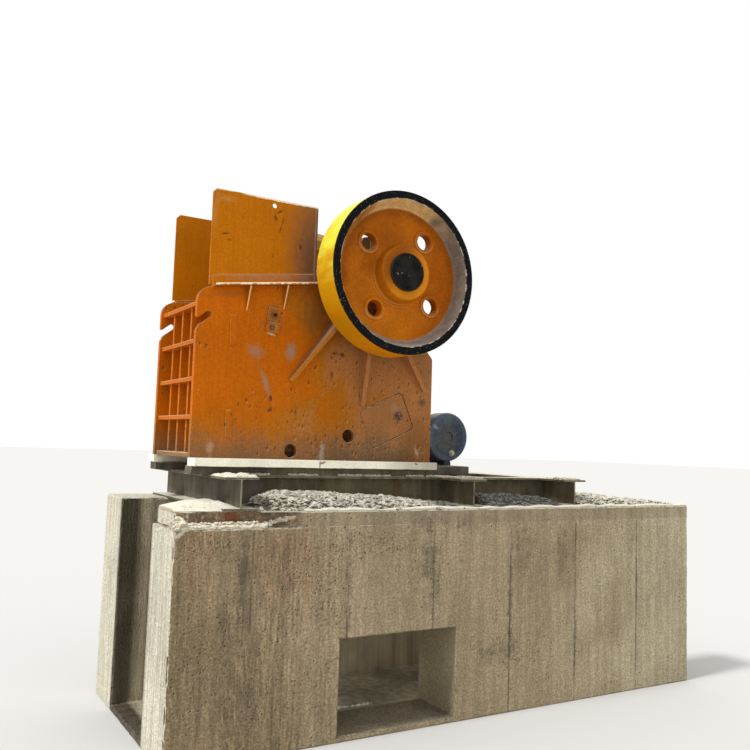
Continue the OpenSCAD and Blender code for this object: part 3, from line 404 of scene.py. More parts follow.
# A pale broken line along the top front edge past the broken part: a painted highlight.
top_edge_highlight = c.times(c.worn, c.ramp(c.z, cap_z - 0.018, cap_z - 0.012), c.ramp(c.x, -2.0, -1.8),
                   c.clouds(12, 4, low=0.16, high=0.34))
tone = c.mix(c.most(c.times(edge_dust, 0.6), top_edge_highlight), tone, (0.66, 0.63, 0.52))
skin = c.maths("ADD", c.times(scratches, 0.35), c.maths("ADD", c.times(grit, 0.8),
                                                        c.times(strokes, stroke_area, 0.9)))
skin = c.maths("SUBTRACT", skin, c.times(c.most(pits, pores, board_joints), 1.8))
concrete = c.dressed(tone, skin, 0.006)


def day_joint_edge(middle):
    """The edges where the top pour lies flush on the wall."""
    return abs(middle.z - pour_z) < 0.003 and (middle.x > -1.84 or middle.y > 0)


for node, seed in (("near_pier", 1), ("far_pier", 2), ("far_cap", 4)):
    carried(node, node + "_cast", concrete, "concrete", 0.013, steps=3, pitch=0.035, chip=0.026, seed=seed,
            sharp=day_joint_edge)
carried("near_cap", "near_cap_cast", concrete, "concrete", 0.011, steps=2, pitch=0.03, chip=0.020, seed=3,
        sharp=day_joint_edge)

# Stone and dust: broken rock that fell from the feed lies in heaps on the top pour between the beams, fine
# dust has drifted over the pad at the feed end, and crumbs of it and of the broken pour lie on the ledge.
# Nothing fixes it.
c = Finish("broken_rock", roughness=0.95, specular=0.04)
lump = c.add("ShaderNodeTexVoronoi", Vector=c.place, Scale=30).outputs["Color"]
lot = c.add("ShaderNodeSeparateColor", Color=lump).outputs[0]
rock_tone = c.mix(lot, (0.27, 0.252, 0.205), (0.60, 0.576, 0.485))
# The stones are painted brighter towards the motor end, a painted light, and darker on their undersides, a painted
# shade.
rock_tone = c.scaled(rock_tone, c.maths("ADD", 1, c.times(c.ramp(c.x, 1.2, 1.4), 0.12)))
rock_tone = c.mix(c.ramp(c.nz, 0.30, -0.3), rock_tone, (0.17, 0.148, 0.110))
rock_tone = c.scaled(rock_tone, c.round_one(c.clouds(120, 3), 0.18))
# The middle heap's stones are painted dark: a painted shadow of the wheel.
wheel_shadow = c.times(c.ramp(c.x, -0.66, -0.30), c.ramp(c.x, 1.28, 1.16), c.ramp(c.y, -1.068, -1.02),
               c.ramp(c.z, 2.10, 2.06))
rock_tone = c.mix(c.times(wheel_shadow, 0.94), rock_tone, c.mix(lot, (0.075, 0.072, 0.062), (0.200, 0.200, 0.185)))
rock = c.dressed(rock_tone, c.mottle(160, 3), 0.002)
c = Finish("bedded_grit", roughness=1.0, specular=0.0)
bed_tone = c.mix(c.clouds(45, 4), (0.115, 0.098, 0.070), (0.300, 0.275, 0.215))
bed_tone = c.mix(c.ramp(c.maths("ADD", c.y, c.times(c.wander, 0.03)), -1.050, -1.075), bed_tone,
                 stone_dust_tone)
bed = c.dressed(bed_tone, c.mottle(90, 4), 0.004)
c = Finish("drifted_dust", roughness=1.0, specular=0.0)
dust_tone = c.scaled((0.655, 0.628, 0.520), c.times(c.round_one(c.clouds(9, 4), 0.04),
                                                    c.round_one(c.clouds(70, 3), 0.06)))
dust_tone = c.mix(c.times(c.specks(60, 0.3, 0.05, bent=0.01), 0.45), dust_tone, (0.25, 0.215, 0.155))
dust_tone = c.mix(c.times(c.ramp(c.nz, 0.60, 0.15), 0.8), dust_tone, (0.42, 0.345, 0.235))
drifted_dust = c.dressed(dust_tone, c.mottle(60, 4), 0.003)


def stone(bm, at, size, draw):
    """One broken stone of twenty faces, turned and flattened at random."""
    turn = Matrix.Rotation(draw.uniform(0, 2 * pi), 4, (draw.uniform(-1, 1), draw.uniform(-1, 1),
                                                        draw.uniform(0.2, 1)))
    flat = Matrix.Diagonal((size * draw.uniform(0.8, 1.25), size * draw.uniform(0.7, 1.1),
                            size * draw.uniform(0.5, 0.8), 1))
    made = bmesh.ops.create_icosphere(bm, subdivisions=1, radius=1,
                                      matrix=Matrix.Translation(at) @ flat @ turn)
    for v in made["verts"]:
        v.co += Vector([draw.uniform(-0.22, 0.22) * size for _ in range(3)])


def mound(bm, x0, x1, y0, y1, height, base=cap_z, cells=0.03):
    """A low solid heap whose height over its base is given for each place."""
    nx = round((x1 - x0) / cells)
    ny = round((y1 - y0) / cells)
    place = Matrix.Translation(((x0 + x1) / 2, (y0 + y1) / 2, base - 0.004))
    place = place @ Matrix.Diagonal(((x1 - x0) / 2, (y1 - y0) / 2, 1, 1))
    bottom = bmesh.ops.create_grid(bm, x_segments=nx, y_segments=ny, size=1, matrix=place)["verts"]
    faces = list({f for v in bottom for f in v.link_faces})
    top = bmesh.ops.extrude_face_region(bm, geom=faces)["geom"]
    for v in top:
        if isinstance(v, bmesh.types.BMVert):
            v.co.z = base + height(v.co.x, v.co.y)
    bmesh.ops.recalc_face_normals(bm, faces=bm.faces)


def ease(value, low, high):
    t = min(1, max(0, (value - low) / (high - low)))
    return t * t * (3 - 2 * t)


def outline(x, points):
    """The height at x of a line through the given points."""
    for (x0, h0), (x1, h1) in zip(points, points[1:]):
        if x0 <= x <= x1:
            return h0 + (h1 - h0) * (x - x0) / (x1 - x0)
    return 0.0


def lumpy(x, y, scale, seed, share):
    return 1 + share * noise.noise(Vector((x * scale, y * scale, seed)))


def long_heap(x, y):
    crest = outline(x, ((-2.22, 0.0), (-2.10, 0.080), (-1.98, 0.105), (-1.745, 0.120), (-1.45, 0.103),
                        (-1.145, 0.094),
                        (-0.83, 0.075), (-0.60, 0.047), (-0.30, 0.030), (-0.16, 0.022)))
    fan = ease(x - 0.75 * max(0, -0.72 - y), -2.22, -2.12)
    return max(0.001, crest * fan * ease(y, -1.095, -0.84) * lumpy(x, y, 5, 0, 0.2))


def shaded_heap(x, y):
    crest = outline(x, ((0.15, 0.090), (0.22, 0.100), (0.60, 0.090), (1.0, 0.068), (1.15, 0.030)))
    return max(0.001, crest * ease(y, -1.06, -0.82) * lumpy(x, y, 6, 3, 0.25))


def motor_end_heap(x, y):
    crest = outline(x, ((1.31, 0.055), (1.50, 0.076), (1.72, 0.094), (2.03, 0.065), (2.50, 0.032),
                        (2.86, 0.002)))
    return max(0.001, crest * ease(y, -1.095, -0.88) * ease(y, -0.5, -0.62) * lumpy(x, y, 5, 7, 0.3))


def strew(bm, count, x0, x1, y0, y1, height, sizes, draw, base=cap_z, bare=0.15):
    """Stones over a heap, thicker where the heap is higher."""
    laid = 0
    while laid < count:
        x = draw.uniform(x0, x1)
        y = draw.uniform(y0, y1)
        h = height(x, y)
        if draw.random() > bare + h * 14:
            continue
        size = sizes[0] + (sizes[1] - sizes[0]) * draw.random() ** 1.6
        stone(bm, (x, y, base + h + size * 0.25), size, draw)
        laid += 1


heaps = (
    ("feed_side", (-2.22, -0.17, -1.097, -0.64), long_heap, 2150, (0.010, 0.033), 11),
    ("middle", (0.15, 1.15, -1.08, -0.64), shaded_heap, 620, (0.010, 0.030), 12),
    ("motor_side", (1.31, 2.88, -1.097, -0.52), motor_end_heap, 1250, (0.010, 0.030), 13),
)
for name, (x0, x1, y0, y1), height, count, sizes, seed in heaps:
    heap = bmesh.new()
    mound(heap, x0, x1, y0, y1, height)
    keep(heap, name + "_bed", bed, crease=40)
    heap = bmesh.new()
    strew(heap, count, x0 + 0.01, x1 - 0.01, y0 + 0.008, y1 - 0.01, height, sizes, random.Random(seed))
    keep(heap, name + "_stones", rock, crease=20)


def pad_drift(x, y):
    crest = outline(x, ((-2.93, 0.004), (-2.90, 0.014), (-2.81, 0.036), (-2.65, 0.064), (-2.48, 0.063),
                        (-2.41, 0.040), (-2.36, 0.022)))
    edge = -0.975 + 0.012 * noise.noise(Vector((x * 14, 0, 0)))
    return max(0.0, crest * ease(y, edge, -0.89) * lumpy(x, y, 7, 1, 0.12)) + 0.002


def corner_drift(x, y):
    return (0.085 * ease(x + y, -4.00, -3.88) * ease(x, -2.80, -2.86) * ease(y, -0.94, -1.0)
            * lumpy(x, y, 20, 2, 0.4) + 0.001)


def ledge_drift(x, y):
    return max(0.0, 0.016 * ease(y, -1.100, -1.075) * ease(x, -2.15, -2.3) * lumpy(x, y, 16, 4, 1.2)) + 0.001


def lip_drift(x, y):
    return max(0.0, 0.020 * ease(y, -1.102, -1.092) * ease(y, -1.045, -1.070)
               * lumpy(x, y, 6, 8, 0.9)) + 0.001


drift = bmesh.new()
mound(drift, -2.895, -2.368, -0.975, -0.56, pad_drift, cells=0.022)
mound(drift, -2.915, -2.79, -1.085, -0.94, corner_drift, base=pour_z - 0.004, cells=0.011)
mound(drift, -2.87, -2.10, -1.090, -0.985, ledge_drift, base=pour_z, cells=0.012)
mound(drift, -1.84, 2.915, -1.0975, -1.045, lip_drift, cells=0.014)
keep(drift, "drifted_dust", drifted_dust, crease=60)

crumbs = bmesh.new()
draw = random.Random(21)
for _ in range(620):
    x = draw.uniform(-2.84, -2.20)
    size = draw.uniform(0.006, 0.019)
    wave = 0.014 * noise.noise(Vector((x * 9, 0, 5)))
    pile = draw.random() ** 2
    at = (x, -1.012 + wave + draw.gauss(0, 0.009) * (1 - pile), pour_z + 0.010 + 0.028 * pile + size * 0.2)
    stone(crumbs, at, size, draw)
for _ in range(620):
    x = draw.uniform(-2.80, -2.16)
    if noise.noise(Vector((x * 7, 2, 0))) < -0.22:
        continue
    size = draw.uniform(0.005, 0.018)
    pile = draw.random() ** 2
    stone(crumbs, (x, -1.084 + abs(draw.gauss(0, 0.010)), pour_z - 0.002 + 0.020 * pile + size * 0.2), size,
          draw)
for _ in range(620):
    t = draw.random()
    x = -2.30 + 0.66 * t
    size = draw.uniform(0.006, 0.021)
    rise = ease(t, 0.0, 0.5) * 0.075 + ease(t, 0.4, 1.0) * 0.055
    at = (x + draw.gauss(0, 0.014), -1.088 + 0.045 * draw.random() + 0.03 * (1 - t),
          pour_z + rise - 0.022 * draw.random() + size * 0.2)
    stone(crumbs, at, size, draw)
for _ in range(300):
    size = draw.uniform(0.005, 0.017)
    x = draw.uniform(-2.918, -2.78)
    y = draw.uniform(-1.085, -0.95)
    stone(crumbs, (x, y, pour_z - 0.004 + corner_drift(x, y) + size * 0.1), size, draw)
for _ in range(60):
    size = draw.uniform(0.003, 0.008)
    x = draw.uniform(-2.88, -2.40)
    y = draw.uniform(-0.97, -0.70)
    stone(crumbs, (x, y, cap_z + pad_drift(x, y) + size * 0.1), size, draw)
for _ in range(420):
    x = draw.uniform(-1.75, 2.88)
    size = draw.uniform(0.004, 0.011)
    stone(crumbs, (x, -1.092 + 0.05 * draw.random() ** 2, cap_z + size * 0.2), size, draw)
for _ in range(90):
    size = draw.uniform(0.006, 0.018)
    x = draw.uniform(-1.35, -0.75)
    stone(crumbs, (x, -0.46 + 0.03 * noise.noise(Vector((x * 5, 0, 0))) + draw.gauss(0, 0.008),
                   0.05 + size * 0.3), size, draw)
keep(crumbs, "edge_crumbs", drifted_dust, crease=20)

# Grillage: rolled beams lie across the walls, with coped beams between them under the crusher's plates
# and two joists under the motor. Dark paint under dust; the cross beams' ends face out over the walls.
c = Finish("beam_paint", roughness=0.85, specular=0.08)
steel_tone = c.mix(c.ramp(c.x, -2.2, -1.6), (0.112, 0.098, 0.074), (0.128, 0.110, 0.068))
tone = c.scaled(steel_tone, c.times(c.round_one(c.clouds(2.4, 4), 0.24),
                                    c.round_one(c.clouds(18, 4, along=(1, 1, 0.15)), 0.16),
                                    c.round_one(c.clouds(60, 3), 0.10)))
tone = c.mix(c.times(c.ramp(c.mottle(9, 5), 0.56, 0.68), 0.45), tone, (0.150, 0.085, 0.040))
tone = c.mix(c.times(c.ramp(c.mottle(5, 4), 0.42, 0.70), 0.30), tone, (0.20, 0.175, 0.125))
tone = c.mix(c.times(c.worn, c.clouds(12, 3), 0.85), tone, (0.44, 0.39, 0.285))
tone = c.mix(c.ramp(c.nz, 0.5, 0.85), tone, c.scaled(stone_dust_tone, c.round_one(c.clouds(40, 3), 0.14)))
beam_paint = c.dressed(tone, c.mottle(45, 4), 0.0015)
for node in ("cross_beam_feed", "cross_beam_middle", "cross_beam_motor", "near_long_beams", "far_long_beams",
             "motor_bearers"):
    carried(node, node + "_rolled", beam_paint, "beam_steel", 0.003)


def flange_drift(x, y):
    edge = 0.010 * noise.noise(Vector((x * 30, y * 30, 0)))
    return max(0.001, 0.017 * ease(abs(x + 2.36) + edge, 0.148, 0.125)
               * ease(y, -0.999, -0.985) * lumpy(x, y, 17, 6, 1.1))


beam_dust = bmesh.new()
mound(beam_dust, -2.508, -2.212, -0.998, -0.66, flange_drift, base=2.18, cells=0.014)
draw = random.Random(31)
for x, count in ((-2.36, 230), (-0.005, 110), (1.302, 70)):
    for _ in range(count):
        size = draw.uniform(0.005, 0.015)
        stone(beam_dust, (x + draw.uniform(-0.14, 0.14), draw.uniform(-0.99, -0.70), 2.185 + size * 0.3),
              size, draw)
for _ in range(620):
    x = draw.uniform(-2.17, -0.17)
    if noise.noise(Vector((x * 4, 0, 9))) < -0.10:
        continue
    size = draw.uniform(0.005, 0.017)
    stone(beam_dust, (x, draw.uniform(-0.622, -0.607), 2.182 + size * 0.5), size, draw)
keep(beam_dust, "beam_top_dust", drifted_dust, crease=45)

# Packing rails and foot bars: flat steel bars under the crusher's side plates, bedded on the beams. The
# rails are dark, and the foot bars are buried in pale stone dust along their outer faces, with a rusty
# mark where two lengths meet.
for node in ("near_rail", "far_rail"):
    carried(node, node + "_bar", beam_paint, "beam_steel", 0.004)
c = Finish("dusted_bar", roughness=0.95, specular=0.05)
tone = c.mix(c.ramp(c.maths("ADD", c.x, c.times(c.wander, 0.1)), -0.95, -0.25), (0.87, 0.84, 0.70),
             (0.50, 0.465, 0.37))
tone = c.scaled(tone, c.times(c.round_one(c.clouds(7, 4), 0.05), c.round_one(c.clouds(60, 3), 0.05)))
tone = c.mix(c.times(c.specks(26, 0.22, 0.13, along=(0.6, 1, 1), bent=0.02), 0.6), tone, (0.30, 0.235, 0.15))
tone = c.mix(c.times(c.most(c.spot(-1.50, 2.285, 0.010, 0.06, ragged=0.3),
                            c.spot(-1.47, 2.30, 0.035, 0.012, 20)), 0.8), tone, (0.20, 0.10, 0.055))
tone = c.mix(c.times(c.spot(-0.47, 2.305, 0.03, 0.010, -12), 0.8), tone, (0.12, 0.09, 0.06))
tone = c.mix(c.ramp(c.nz, -0.3, -0.8), tone, (0.060, 0.048, 0.032))
tone = c.mix(c.times(c.ramp(c.nz, 0.5, 0.9), 1.0), tone, stone_dust_tone)
dusted_bar = c.dressed(tone, c.mottle(70, 4), 0.002)
for node in ("near_foot", "far_foot"):
    carried(node, node + "_bar", dusted_bar, "dusty_foot", 0.004, steps=2, pitch=0.05, chip=0.004)

# Side plates: cut from 50 mm plate, welded into the frame and enamelled orange. The paint is clean
# towards the feed end and browned by dust and chips towards the rear and the foot.
paint_clean = (0.500, 0.116, 0.001)
paint_mid = (0.385, 0.122, 0.004)
paint_dusty = (0.345, 0.140, 0.044)
plate_dust = (0.50, 0.455, 0.35)


def enamel(name, clean, mid, dusty, spread=0.0, marks=()):
    """Orange machine enamel; spread moves the dirt along, marks are (place and size, tone, amount)."""
    c = Finish(name, roughness=0.6, specular=0.05)
    cloud = c.clouds(1.7, 4)
    streak = c.clouds(15, 4, along=(1, 1, 0.07))
    rain = c.clouds(48, 4, along=(1, 1, 0.05))
    fine = c.clouds(70, 3)
    dirt = c.maths("ADD", c.x, c.times(c.maths("SUBTRACT", cloud, 0.5), 0.7))
    dirt = c.times(c.ramp(dirt, -2.0 + spread, -0.70 + spread), 0.98)
    low = c.times(c.ramp(c.maths("ADD", c.z, c.times(cloud, 0.2)), 3.2, 2.55), c.ramp(c.z, 3.9, 3.8), 0.30)
    dirt = c.maths("ADD", c.maths("ADD", dirt, low), c.times(c.maths("SUBTRACT",
                                                                     c.maths("ADD", c.times(streak, 0.4), fine), 0.7), 0.15))
    tone = c.mix(c.ramp(dirt, 0.0, 0.55), clean, mid)
    tone = c.mix(c.ramp(dirt, 0.38, 1.05), tone, dusty)
    foot_line = c.maths("ADD", c.z, c.maths("ADD", c.times(streak, 0.07),
                                            c.maths("ADD", c.times(cloud, 0.08), c.times(fine, 0.09))))
    foot_film = c.times(c.ramp(foot_line, 2.78, 2.46), c.ramp(c.maths("ADD", c.x,
                                                                      c.times(c.maths("SUBTRACT", c.z, 2.33), 0.8)), -0.32, -0.44))
    film_tone = c.mix(c.ramp(c.x, -1.6, -1.1), (0.225, 0.115, 0.050), (0.130, 0.088, 0.052))
    tone = c.mix(c.times(foot_film, 0.9), tone, film_tone)
    tone = c.mix(c.times(c.ramp(c.z, 2.84, 2.48), c.ramp(c.x, -0.65, -0.45), 0.7), tone,
                 (0.175, 0.078, 0.026))
    tone = c.scaled(tone, c.times(c.round_one(cloud, 0.06), c.round_one(rain, 0.04), c.round_one(fine, 0.09)))
    rash = c.ramp(c.maths("ADD", c.clouds(2.6, 3), dirt), 0.45, 1.30)
    chip_form = dict(scale=23, size=0.255, share=c.maths("ADD", c.times(rash, 0.58), 0.012),
                     along=(1, 1, 0.55), bent=0.034)
    nick_form = dict(scale=44, size=0.28, share=c.maths("ADD", c.times(rash, 0.42), 0.01),
                     along=(1, 1, 0.7), bent=0.016)
    bared = c.most(c.specks(**chip_form), c.times(c.specks(**nick_form), 0.8))
    # A pale lip beside each chip, up and towards the feed end: a painted highlight.
    highlit_lips = c.most(c.specks(highlight_shift=0.008, **chip_form), c.times(c.specks(highlight_shift=0.004, **nick_form), 0.7))
    tone = c.mix(c.times(highlit_lips, 0.35), tone, (0.52, 0.28, 0.10))
    tone = c.mix(c.times(bared, 0.72), tone, (0.085, 0.034, 0.013))
    for place, mark_tone, amount in marks:
        tone = c.mix(c.times(c.spot(*place), amount, c.round_one(c.most(rain, fine), 0.3)), tone, mark_tone)
    # Eased edges are painted a paler orange: rubbed paint with a painted highlight.
    tone = c.mix(c.times(c.worn, c.clouds(18, 3), 0.60), tone, (0.60, 0.31, 0.105))
    tone = c.mix(c.times(c.worn, c.ramp(c.nz, 0.10, 0.35), c.clouds(18, 3, low=0.2, high=0.45)), tone,
                 (0.70, 0.60, 0.42))
    # Faces that slope upwards are painted darker brown: dust with painted shade.
    slope_dust_and_shade = c.times(c.ramp(c.nz, 0.25, 0.45), c.ramp(c.nz, 0.90, 0.80))
    tone = c.mix(c.times(slope_dust_and_shade, 0.9), tone, c.scaled((0.190, 0.105, 0.066), c.round_one(streak, 0.12)))
    lying = c.ramp(c.maths("ADD", c.nz, c.times(c.wander, 0.06)), 0.84, 0.94)
    tone = c.mix(lying, tone, c.scaled(plate_dust, c.round_one(c.clouds(50, 3), 0.14)))
    dull = c.maths("ADD", 0.50, c.times(c.most(c.ramp(dirt, 0.2, 1), lying), 0.36))
    skin = c.maths("SUBTRACT", c.times(c.mottle(38, 3), 0.5), c.times(bared, 0.8))
    return c.dressed(tone, skin, 0.0012, dull)


dust_grey = (0.300, 0.205, 0.135)
rust_dark = (0.095, 0.036, 0.014)
plate_marks = (
    ((-1.77, 3.294, 0.070, 0.100, 0, 0.4, 1.0), dust_grey, 0.9), ((-2.00, 2.99, 0.040, 0.21, 24, 0.4, 1.0),
                                                                  dust_grey, 0.65),
    ((-2.12, 3.26, 0.11, 0.09, 0, 0.5, 1.0), dust_grey, 0.5), ((-2.484, 2.403, 0.050, 0.12, 0, 0.4, 1.0),
                                                               (0.40, 0.26, 0.17), 0.6),
    ((-1.418, 2.394, 0.034, 0.11), (0.34, 0.30, 0.22), 0.7), ((-0.373, 2.409, 0.030, 0.10, 20),
                                                              (0.34, 0.26, 0.18), 0.7),
    ((-1.953, 3.555, 0.125, 0.175), (0.300, 0.115, 0.022), 0.85), ((-1.965, 3.428, 0.070, 0.014, -12, 0.3),
                                                                   (0.62, 0.40, 0.20), 0.9),
    ((-1.960, 3.490, 0.062, 0.042, -7, 0.4), (0.560, 0.215, 0.040),
     0.55), ((-1.946, 3.600, 0.044, 0.044, 0, 0.3), (0.170, 0.058, 0.020),
             # The black disc in the middle of the upper pad's collar stands for the dark inside of its hole: a
             # painted shade.
             0.95), ((-1.946, 3.600, 0.020, 0.020, 0, 0.1, 0.4), (0.015, 0.010, 0.007), 1.0),
    ((-0.64, 2.83, 0.070, 0.110, 35), (0.40, 0.190, 0.125), 0.75), ((-0.336, 2.902, 0.060, 0.060),
                                                                    (0.14, 0.088, 0.052), 0.8),
    # A darker patch on the plate beside the wheel: a painted shade.
    ((-1.50, 3.66, 0.30, 0.44, -20, 0.3, 1.0), (0.205, 0.070, 0.008), 0.6),
    ((-1.95, 2.86, 0.020, 0.040), rust_dark, 0.9),
    ((-2.25, 2.79, 0.016, 0.045), rust_dark, 0.7), ((-1.95, 2.755, 0.022, 0.030), rust_dark, 0.7),
    ((-1.70, 2.755, 0.024, 0.060), rust_dark, 0.7), ((-1.33, 3.31, 0.042, 0.020), rust_dark, 0.8),
    ((-1.245, 3.31, 0.030, 0.034), rust_dark, 0.8), ((-1.35, 3.12, 0.022, 0.060), rust_dark, 0.6),
    ((-1.58, 3.03, 0.020, 0.026), rust_dark, 0.8), ((-1.49, 2.52, 0.020, 0.080), rust_dark, 0.5),
    # A darker orange band just under the top flange: a painted shadow.
    ((-2.40, 3.735, 0.40, 0.030, 8), (0.36, 0.105, 0.012), 0.5), ((-0.30, 3.30, 0.16, 0.40),
                                                                  (0.255, 0.125, 0.055), 0.5))
orange = enamel("orange_enamel", paint_clean, paint_mid, paint_dusty, marks=plate_marks)
for node in ("near_side_plate", "far_side_plate"):
    carried(node, node + "_painted", orange, "orange_paint", 0.004)


def plate(bm, outline, y0, y1, edge=0.002):
    """A flat piece cut to an outline of X and Z, from y0 to y1, with its edges eased and marked as eased edges."""
    worn = bm.faces.layers.float.get("worn") or bm.faces.layers.float.new("worn")
    face = bm.faces.new([bm.verts.new((x, y0, z)) for x, z in outline])
    raised = bmesh.ops.extrude_face_region(bm, geom=[face])["geom"]
    bmesh.ops.translate(bm, verts=[v for v in raised if isinstance(v, bmesh.types.BMVert)],
                        vec=(0, y1 - y0, 0))
    around = ({face} | {g for v in face.verts for g in v.link_faces}
              | {g for g in raised if isinstance(g, bmesh.types.BMFace)})
    bmesh.ops.recalc_face_normals(bm, faces=list(around))
    rim = {e for g in around for e in g.edges
           if len(e.link_faces) == 2 and e.calc_face_angle(0) > radians(28)}
    made = bmesh.ops.bevel(bm, geom=list(rim), offset=edge, offset_type="OFFSET", segments=2, profile=0.5,
                           affect="EDGES",
                           material=-1, clamp_overlap=True)
    for f in made["faces"]:
        f[worn] = 1


def turned_square(x, z, w, h, turn):
    """Corners of a rectangle round (x, z), turned by an angle in degrees."""
    a = radians(turn)
    return [(x + i * w / 2 * cos(a) - k * h / 2 * sin(a), z + i * w / 2 * sin(a) + k * h / 2 * cos(a))
            for i, k in ((-1, -1), (1, -1), (1, 1), (-1, 1))]


def hex_bolt(bm, at, out, across, washer=1.0):
    """A hexagon head on a round washer; at is where it seats and out is the way that it faces."""
    place = Matrix.Translation(at) @ Vector(out).to_track_quat("Z", "Y").to_matrix().to_4x4()
    base = 0.12 * across
    if washer:
        disc = bmesh.ops.create_cone(bm, cap_ends=True, segments=20, radius1=washer * across,
                                     radius2=washer * across,
                                     depth=base, matrix=place @ Matrix.Translation((0, 0, base / 2)))["verts"]
        rim = [e for e in {e for v in disc for e in v.link_edges} if e.calc_face_angle(0) > radians(40)]
        bmesh.ops.bevel(bm, geom=rim, offset=base * 0.3, offset_type="OFFSET", segments=1, profile=0.5,
                        affect="EDGES", material=-1)
    tall = 0.62 * across
    head = bmesh.ops.create_cone(bm, cap_ends=True, segments=6, radius1=0.577 * across,
                                 radius2=0.577 * across, depth=tall,
                                 matrix=place @ Matrix.Translation((0, 0, base + tall / 2)))["verts"]
    rim = [e for e in {e for v in head for e in v.link_edges} if e.calc_face_angle(0) > radians(40)]
    bmesh.ops.bevel(bm, geom=rim, offset=0.05 * across, offset_type="OFFSET", segments=2, profile=0.5,
                    affect="EDGES", material=-1)


def weld(bm, start, end, radius=0.007, ripple=0.009):
    """A hand-laid weld bead along a joint: a run of overlapping ripples, closed at both ends."""
    run = Vector(end) - Vector(start)
    count = max(3, round(run.length / ripple))
    place = Matrix.Translation(start) @ run.to_track_quat("Z", "Y").to_matrix().to_4x4()
    ring = bmesh.ops.create_circle(bm, cap_ends=True, segments=7, radius=radius * 0.6, matrix=place)["verts"]
    edges = list({e for v in ring for e in v.link_edges})
    middle = Vector(start)
    step = run / count
    for i in range(count):
        grown = bmesh.ops.extrude_edge_only(bm, edges=edges)["geom"]
        ring = [g for g in grown if isinstance(g, bmesh.types.BMVert)]
        edges = [g for g in grown if isinstance(g, bmesh.types.BMEdge)]
        bmesh.ops.translate(bm, verts=ring, vec=step)
        middle = middle + step
        size = radius * (0.95 + 0.16 * (1 if i % 2 else -1) + 0.10 * noise.noise(middle * 60))
        for v in ring:
            v.co = middle + (v.co - middle).normalized() * size
    bmesh.ops.contextual_create(bm, geom=edges)


def washer_ring(bm, at, side, inner, outer, tall):
    """A plain round collar round a hole, standing on a face that looks along Y."""
    x, y, z = at
    corners = [bm.verts.new((x + r, y + side * d, z)) for r, d in ((inner, 0), (outer, 0),
                                                                   (outer - 0.001, tall), (inner + 0.001, tall))]
    edges = [bm.edges.new((corners[i], corners[(i + 1) % 4])) for i in range(4)]
    bmesh.ops.spin(bm, geom=corners + edges, cent=(x, y, z), axis=(0, 1, 0), angle=2 * pi, steps=28,
                   use_merge=True)


fittings = bmesh.new()
for side in (-1, 1):
    y = side * 0.55
    out = side * 0.009
    plate(fittings, turned_square(-2.329, 3.43, 0.055, 0.262, 3), y, y + out, 0.003)
    plate(fittings, turned_square(-2.334, 2.617, 0.055, 0.232, 3), y, y + out, 0.003)
    plate(fittings, turned_square(-1.958, 3.602, 0.112, 0.125, -7), y, y + side * 0.014, 0.004)
    plate(fittings, turned_square(-1.960, 3.488, 0.130, 0.092, -7), y, y + side * 0.020, 0.004)
    washer_ring(fittings, (-1.946, side * 0.564, 3.600), side, 0.017, 0.032, 0.010)
bmesh.ops.remove_doubles(fittings, verts=fittings.verts, dist=0.00005)
bmesh.ops.recalc_face_normals(fittings, faces=fittings.faces)
keep(fittings, "side_plate_pads", orange)

# Bolts and pins: rusty hexagon bolts hold the side liners through the side plates and the toggle beam in its
# openings, and a dusty round pin is driven into each small hole beside it.
c = Finish("rusty_bolt", roughness=0.8, metallic=0.1, specular=0.2)
tone = c.mix(c.clouds(40, 4), (0.110, 0.052, 0.026), (0.225, 0.135, 0.075))
tone = c.mix(c.ramp(c.nz, 0.5, 0.8), tone, (0.40, 0.33, 0.23))
bolt_steel = c.dressed(tone, c.mottle(180, 3), 0.0006)
plate_bolts = bmesh.new()
for side in (-1, 1):
    hex_bolt(plate_bolts, (-1.972, side * 0.570, 3.487), (0, side, 0), 0.036, washer=0.75)
    hex_bolt(plate_bolts, (-0.597, side * 0.544, 2.762), (0, side, 0), 0.052, washer=0.85)
    seat = Matrix.Translation((-0.336, side * 0.526, 2.902)) @ Matrix.Rotation(pi / 2, 4, "X")
    pin = bmesh.ops.create_cone(plate_bolts, cap_ends=True, segments=24, radius1=0.0197, radius2=0.0197,
                                depth=0.040, matrix=seat)["verts"]
    rim = [e for e in {e for v in pin for e in v.link_edges} if e.calc_face_angle(0) > radians(40)]
    bmesh.ops.bevel(plate_bolts, geom=rim, offset=0.004, offset_type="OFFSET", segments=2, profile=0.5,
                    affect="EDGES", material=-1)
keep(plate_bolts, "side_plate_bolts", bolt_steel)

# Ribs and bearing seats: thick flats welded on edge to the side plates, carrying the seat for each bearing.
# Their upper sides are painted darker brown, dust with painted shade, and their edges are a paler orange, rubbed
# paint with a painted highlight.
rib_paint = enamel("rib_enamel", (0.425, 0.155, 0.016), (0.400, 0.152, 0.030), (0.355, 0.148, 0.050))
for node in ("near_ribs", "far_ribs"):
    carried(node, node + "_welded", rib_paint, "orange_paint", 0.004)
rib_runs = (((-1.232, 3.750), (-1.767, 3.022)), ((-1.012, 3.750), (-1.012, 2.836)),
            ((-0.880, 3.750), (-0.310, 3.015)))
rib_half = 0.021
welds = bmesh.new()
for side in (-1, 1):
    for (x0, z0), (x1, z1) in rib_runs:
        run = Vector((x1 - x0, 0, z1 - z0)).normalized()
        off = Vector((run.z, 0, -run.x)) * (rib_half + 0.003)
        for s in (-1, 1):
            start = Vector((x0, side * 0.552, z0)) + run * 0.03 + off * s
            end = Vector((x1, side * 0.552, z1)) + off * s
            weld(welds, start, end, 0.008)

# Top flanges: flat bars welded along the side plates' sloping tops, propped by thin gussets,
# and thick with pale dust on top. The upper part of their outer edges is painted pale, dust with a painted
# highlight, and the gussets' sloping outer edges are painted bright orange, a painted highlight.
c = Finish("flange_enamel", roughness=0.8, specular=0.04)
tone = c.mix(c.clouds(6, 4), (0.45, 0.128, 0.004), (0.36, 0.120, 0.014))
